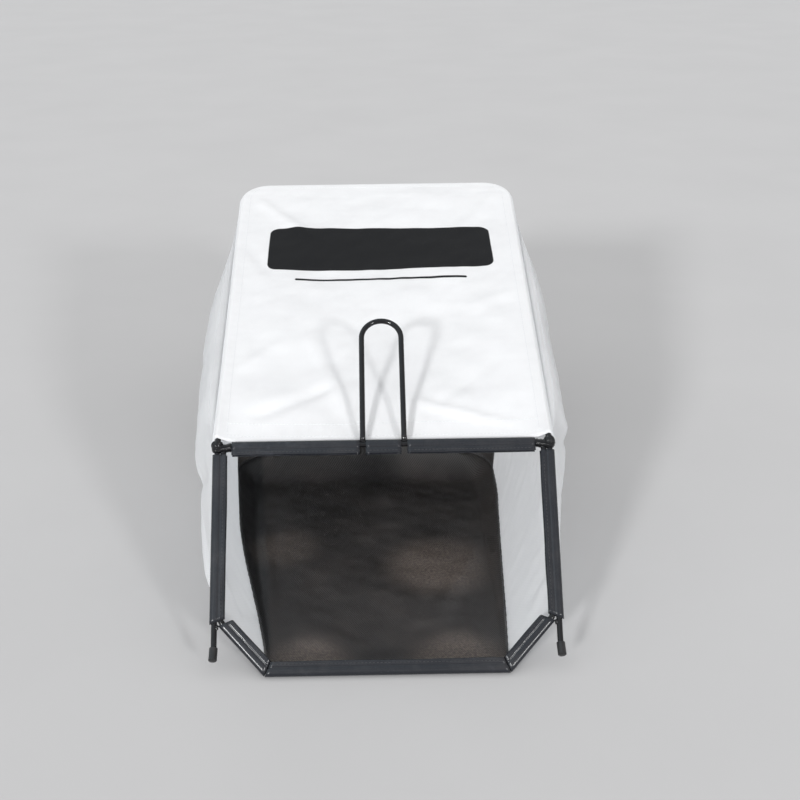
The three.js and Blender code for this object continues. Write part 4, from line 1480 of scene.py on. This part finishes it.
# %% Steel and welds
def black_steel(name, lumpy):
    made, tree, shader = new_material(name)
    place = position(tree)
    marks = use_group(tree, wear, Vector=place, Scale=140.0, Amount=0.35)
    settled = use_group(tree, dust, Vector=place, Scale=30.0, Amount=0.025)
    base = blend_colour(tree, marks, (0.0045, 0.0045, 0.0055, 1), (0.032, 0.032, 0.034, 1))
    base = blend_colour(tree, settled, base, (0.16, 0.15, 0.14, 1))
    connect(tree, shader, {"Base Color": base, "Roughness": mapped(tree, marks, 0.0, 0.5, 0.15, 0.45),
                           "Specular IOR Level": 0.3, "Coat Weight": 0.15, "Coat Roughness": 0.08})
    peel = noise(tree, place, 900.0 if lumpy else 520.0, 2.0)
    set_bump(tree, shader, peel, 0.0003 if lumpy else 0.00009, 0.7)
    return made


steel = black_steel("gloss black steel", False)
weld_steel = black_steel("painted weld", True)
print("steels:", steel.name, "and", weld_steel.name)

# %% [markdown]
# Channels and caps are black vinyl, softer and duller than paint. A channel carries fine lines along
# its length, from the edge of the die it was pushed through. They could be modelled, but are far
# too fine. The UV map's first coordinate runs round the section, so a noise that is stretched along
# the second one draws them.

# %% Vinyl
def vinyl(name, colour, lines):
    made, tree, shader = new_material(name)
    uv = cloth_map(tree)
    place = position(tree)
    long_way = add_node(tree, "ShaderNodeMapping", {"Vector": uv, "Scale": (1.0, 0.012, 1.0)})
    drawn = noise(tree, long_way.outputs[0], 2600.0, 2.0)
    marks = use_group(tree, wear, Vector=place, Scale=110.0, Amount=0.4)
    settled = use_group(tree, dust, Vector=place, Scale=26.0, Amount=0.07)
    paler = tuple(c * 2.6 + 0.02 for c in colour[:3]) + (1,)
    base = blend_colour(tree, marks, colour, paler)
    base = blend_colour(tree, settled, base, (0.17, 0.155, 0.145, 1))
    connect(tree, shader, {"Base Color": base, "Roughness": mapped(tree, drawn, 0.3, 0.7, 0.22, 0.34),
                           "Specular IOR Level": 0.45})
    height = maths(tree, "MULTIPLY", drawn, lines)
    height = maths(tree, "ADD", height, maths(tree, "MULTIPLY", noise(tree, place, 240.0, 3.0), 0.5))
    set_bump(tree, shader, height, 0.00007, 0.7)
    return made


# Painted reflection: the channel vinyl's black is tinted blue, as a bluish sky would show in it.
channel_vinyl = vinyl("channel vinyl", (0.0085, 0.0100, 0.0140, 1), 1.0)
cap_vinyl = vinyl("dipped vinyl", (0.010, 0.010, 0.011, 1), 0.0)
print("vinyls:", channel_vinyl.name, "and", cap_vinyl.name)

# %% [markdown]
# Piping is a woven tape, so it takes the weave group with finer threads. Thread is two yarns twisted
# together. Winding them as meshes would cost more faces than the whole bag, so a slanting wave in
# colour and bump gives each stitch its twist.

# %% Tape and thread
def tape(name, low, high, rough):
    made, tree, shader = new_material(name)
    uv = cloth_map(tree)
    threads = use_group(tree, weave, Vector=uv, Spacing=0.0008)
    dirt = use_group(tree, dust, Vector=uv, Scale=20.0, Amount=0.25)
    base = blend_colour(tree, threads, low, high)
    base = blend_colour(tree, dirt, base, (0.30, 0.29, 0.28, 1))
    connect(tree, shader, {"Base Color": base, "Roughness": rough, "Sheen Weight": 0.1})
    set_bump(tree, shader, threads, 0.00018, 0.9)
    return made


def thread(name, low, high):
    made, tree, shader = new_material(name)
    place = position(tree)
    twist = add_node(tree, "ShaderNodeTexWave", {"Vector": place, "Scale": 420.0, "Distortion": 1.5},
                     bands_direction="DIAGONAL").outputs["Fac"]
    base = blend_colour(tree, twist, low, high)
    connect(tree, shader, {"Base Color": base, "Roughness": 0.6})
    set_bump(tree, shader, twist, 0.0001, 0.8)
    return made


white_tape = tape("white tape", (0.66, 0.68, 0.70, 1), (0.80, 0.82, 0.84, 1), 0.75)
black_tape = tape("black tape", (0.014, 0.014, 0.015, 1), (0.032, 0.032, 0.034, 1), 0.6)
thread_white = thread("white thread", (0.60, 0.61, 0.63, 1), (0.82, 0.83, 0.85, 1))
thread_black = thread("black thread", (0.016, 0.016, 0.018, 1), (0.05, 0.05, 0.055, 1))
print("materials:", len(bpy.data.materials))

# %% [markdown]
# Each piece now gets its finish. Every line could name a piece and a material, but most pieces can
# share the finish of their slot, and only the printed top and the welds differ. The two foot caps
# are kept from the CAD part, since a dipped cap is a plain shape; only their material is set.

# %% Give each piece its finish
def dress(made, material):
    made.data.materials.clear()
    made.data.materials.append(material)


slot_finishes = {
    "black_steel": steel, "black_vinyl": channel_vinyl, "white_fabric": white_side_brightened,
    "black_fabric": black_fabric, "white_piping": white_tape, "black_piping": black_tape,
}
for node, made in made_pieces.items():
    dress(made, slot_finishes[SLOTS.get(node, "black_vinyl")])
dress(cloth["top_panel"], white_top)
for made in welds:
    dress(made, weld_steel)
dress(white_thread, thread_white)
dress(black_thread, thread_black)
for node in ("foot_cap_left", "foot_cap_right"):
    dress(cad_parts[node], cap_vinyl)
print("dressed:", len(made_pieces) + len(extras) + 2)

# %% [markdown]
# The bag stands on a plain floor. A curved backdrop is the usual studio way, but this floor runs so
# far back that it fills the whole picture by itself. It is a light grey and not white, so that the
# white bag keeps its outline. It lies a hair below z = 0, where the bag's lowest points are.

# %% The floor under the bag
FLOOR_SIZE = 30.0
FLOOR_DEPTH = -0.0004


def pale_floor():
    corners = [(-1, -1), (1, -1), (1, 1), (-1, 1)]
    points = np.array([[x * FLOOR_SIZE, y * FLOOR_SIZE, FLOOR_DEPTH] for x, y in corners])
    made = make_object("floor", points, [(0, 1, 2, 3)], points[:, :2], False)
    material, tree, shader = new_material("pale floor")
    patch = noise(tree, position(tree), 3.0, 3.0)
    base = blend_colour(tree, patch, (0.475, 0.475, 0.48, 1), (0.515, 0.515, 0.52, 1))
    connect(tree, shader, {"Base Color": base, "Roughness": 0.7, "Specular IOR Level": 0.05})
    made.data.materials.append(material)
    return made


stage_floor = pale_floor()
print("floor:", [round(x, 1) for x in stage_floor.dimensions])

# %% [markdown]
# In the photograph the handle throws two pale shadows on the cloth, one to each side, so there were
# two lights in front. Area lamps would do, but suns light the near and the far end of the bag
# alike. They stand low, so that light reaches the inside of the bag. The left one is the stronger,
# and an angle of 7 degrees makes the shadows' edges as soft as they are there.

# %% The lamps
LAMPS = (("lamp_left", 0.50, 2.05), ("lamp_right", -0.55, 1.25))
LAMP_ANGLE = math.radians(7)


def lamp(name, across, energy):
    data = bpy.data.lights.new(name, "SUN")
    data.energy = energy
    data.angle = LAMP_ANGLE
    made = bpy.data.objects.new(name, data)
    bpy.context.scene.collection.objects.link(made)
    made.rotation_mode = "QUATERNION"
    made.rotation_quaternion = Vector((across, 0.86, -0.34)).to_track_quat("-Z", "Y")
    return made


lamps = [lamp(*row) for row in LAMPS]
print("lamps:", [made.name for made in lamps])

# %% [markdown]
# The rest of the light comes from all round, a little brighter overhead than at the horizon, as in
# a studio. A picture of a room could give it, but a plain gradient is enough for matt cloth. The
# camera and the reflections see something else: the grey of the floor, with one pale blue window
# high on the left, so that paint and vinyl have something to reflect.

# %% The world
def studio_world():
    world = bpy.data.worlds.new("studio")
    bpy.context.scene.world = world
    world.use_nodes = True
    tree = world.node_tree
    tree.nodes.clear()
    out = tree.nodes.new("ShaderNodeOutputWorld")
    ray = tree.nodes.new("ShaderNodeLightPath")
    direction = add_node(tree, "ShaderNodeTexCoord").outputs["Generated"]
    across, _, height = split(tree, direction)
    level = mapped(tree, height, -0.1, 0.9, 0.74, 0.91)
    light = add_node(tree, "ShaderNodeBackground", {"Color": (1, 1, 1, 1), "Strength": level})
    up_left = maths(tree, "SUBTRACT", height, maths(tree, "MULTIPLY", across, 1.1))
    window = mapped(tree, up_left, 0.56, 1.0)
    shown = blend_colour(tree, window, (0.63, 0.63, 0.635, 1), (0.84, 0.94, 1.0, 1))
    pale = add_node(tree, "ShaderNodeBackground", {"Color": shown, "Strength": 1.0})
    seen = maths(tree, "MAXIMUM", ray.outputs["Is Glossy Ray"], ray.outputs["Is Transmission Ray"])
    seen = maths(tree, "MAXIMUM", ray.outputs["Is Camera Ray"], seen)
    mixed = add_node(tree, "ShaderNodeMixShader", {0: seen, 1: light.outputs[0], 2: pale.outputs[0]})
    tree.links.new(mixed.outputs[0], out.inputs["Surface"])


studio_world()
bpy.context.scene.view_settings.view_transform = "Standard"
print("view transform:", bpy.context.scene.view_settings.view_transform)

# %% [markdown]
# The photograph was taken from in front of the mouth, looking down by 26 degrees. The camera could
# be moved by hand until the picture fits, but its place was worked out from measured points of the
# photograph. The values in pixels say where its axis and the top bar's middle fall in the picture.
# A small shift moves the picture without turning the camera.

# %% The camera
PICTURE = 800
FOCAL = 1110.0
AXIS_X, AXIS_Y = 379, 413
BAR_X, BAR_Y = 383.5, 444
DISTANCE = 1.27
TILT = math.radians(26)
HEADING = math.radians(0.5)
SLANT = math.radians(-0.7)
SENSOR = 36


def camera_directions():
    facing = np.array([math.sin(HEADING), math.cos(HEADING), 0.0])
    ahead = facing * math.cos(TILT) + np.array([0.0, 0.0, -math.sin(TILT)])
    right = np.array([math.cos(HEADING), -math.sin(HEADING), 0.0])
    up = facing * math.sin(TILT) + np.array([0.0, 0.0, math.cos(TILT)])
    turned_right = right * math.cos(SLANT) + up * math.sin(SLANT)
    turned_up = up * math.cos(SLANT) - right * math.sin(SLANT)
    return turned_right, turned_up, ahead


def place_camera():
    data = bpy.data.cameras.new("camera")
    camera = bpy.data.objects.new("camera", data)
    bpy.context.scene.collection.objects.link(camera)
    right, up, ahead = camera_directions()
    place = TOP_BAR - ahead * DISTANCE
    place = place - right * (BAR_X - AXIS_X) / FOCAL * DISTANCE
    place = place + up * (BAR_Y - AXIS_Y) / FOCAL * DISTANCE
    columns = np.column_stack([right, up, -ahead, place])
    camera.matrix_world = Matrix([*columns.tolist(), [0, 0, 0, 1]])
    data.sensor_width = SENSOR
    data.lens = FOCAL * SENSOR / PICTURE
    data.shift_x = (PICTURE / 2 - AXIS_X) / PICTURE
    data.shift_y = (AXIS_Y - PICTURE / 2) / PICTURE
    data.clip_start = 0.05
    bpy.context.scene.camera = camera
    return camera


camera = place_camera()
print("camera at", [round(x, 3) for x in camera.location])
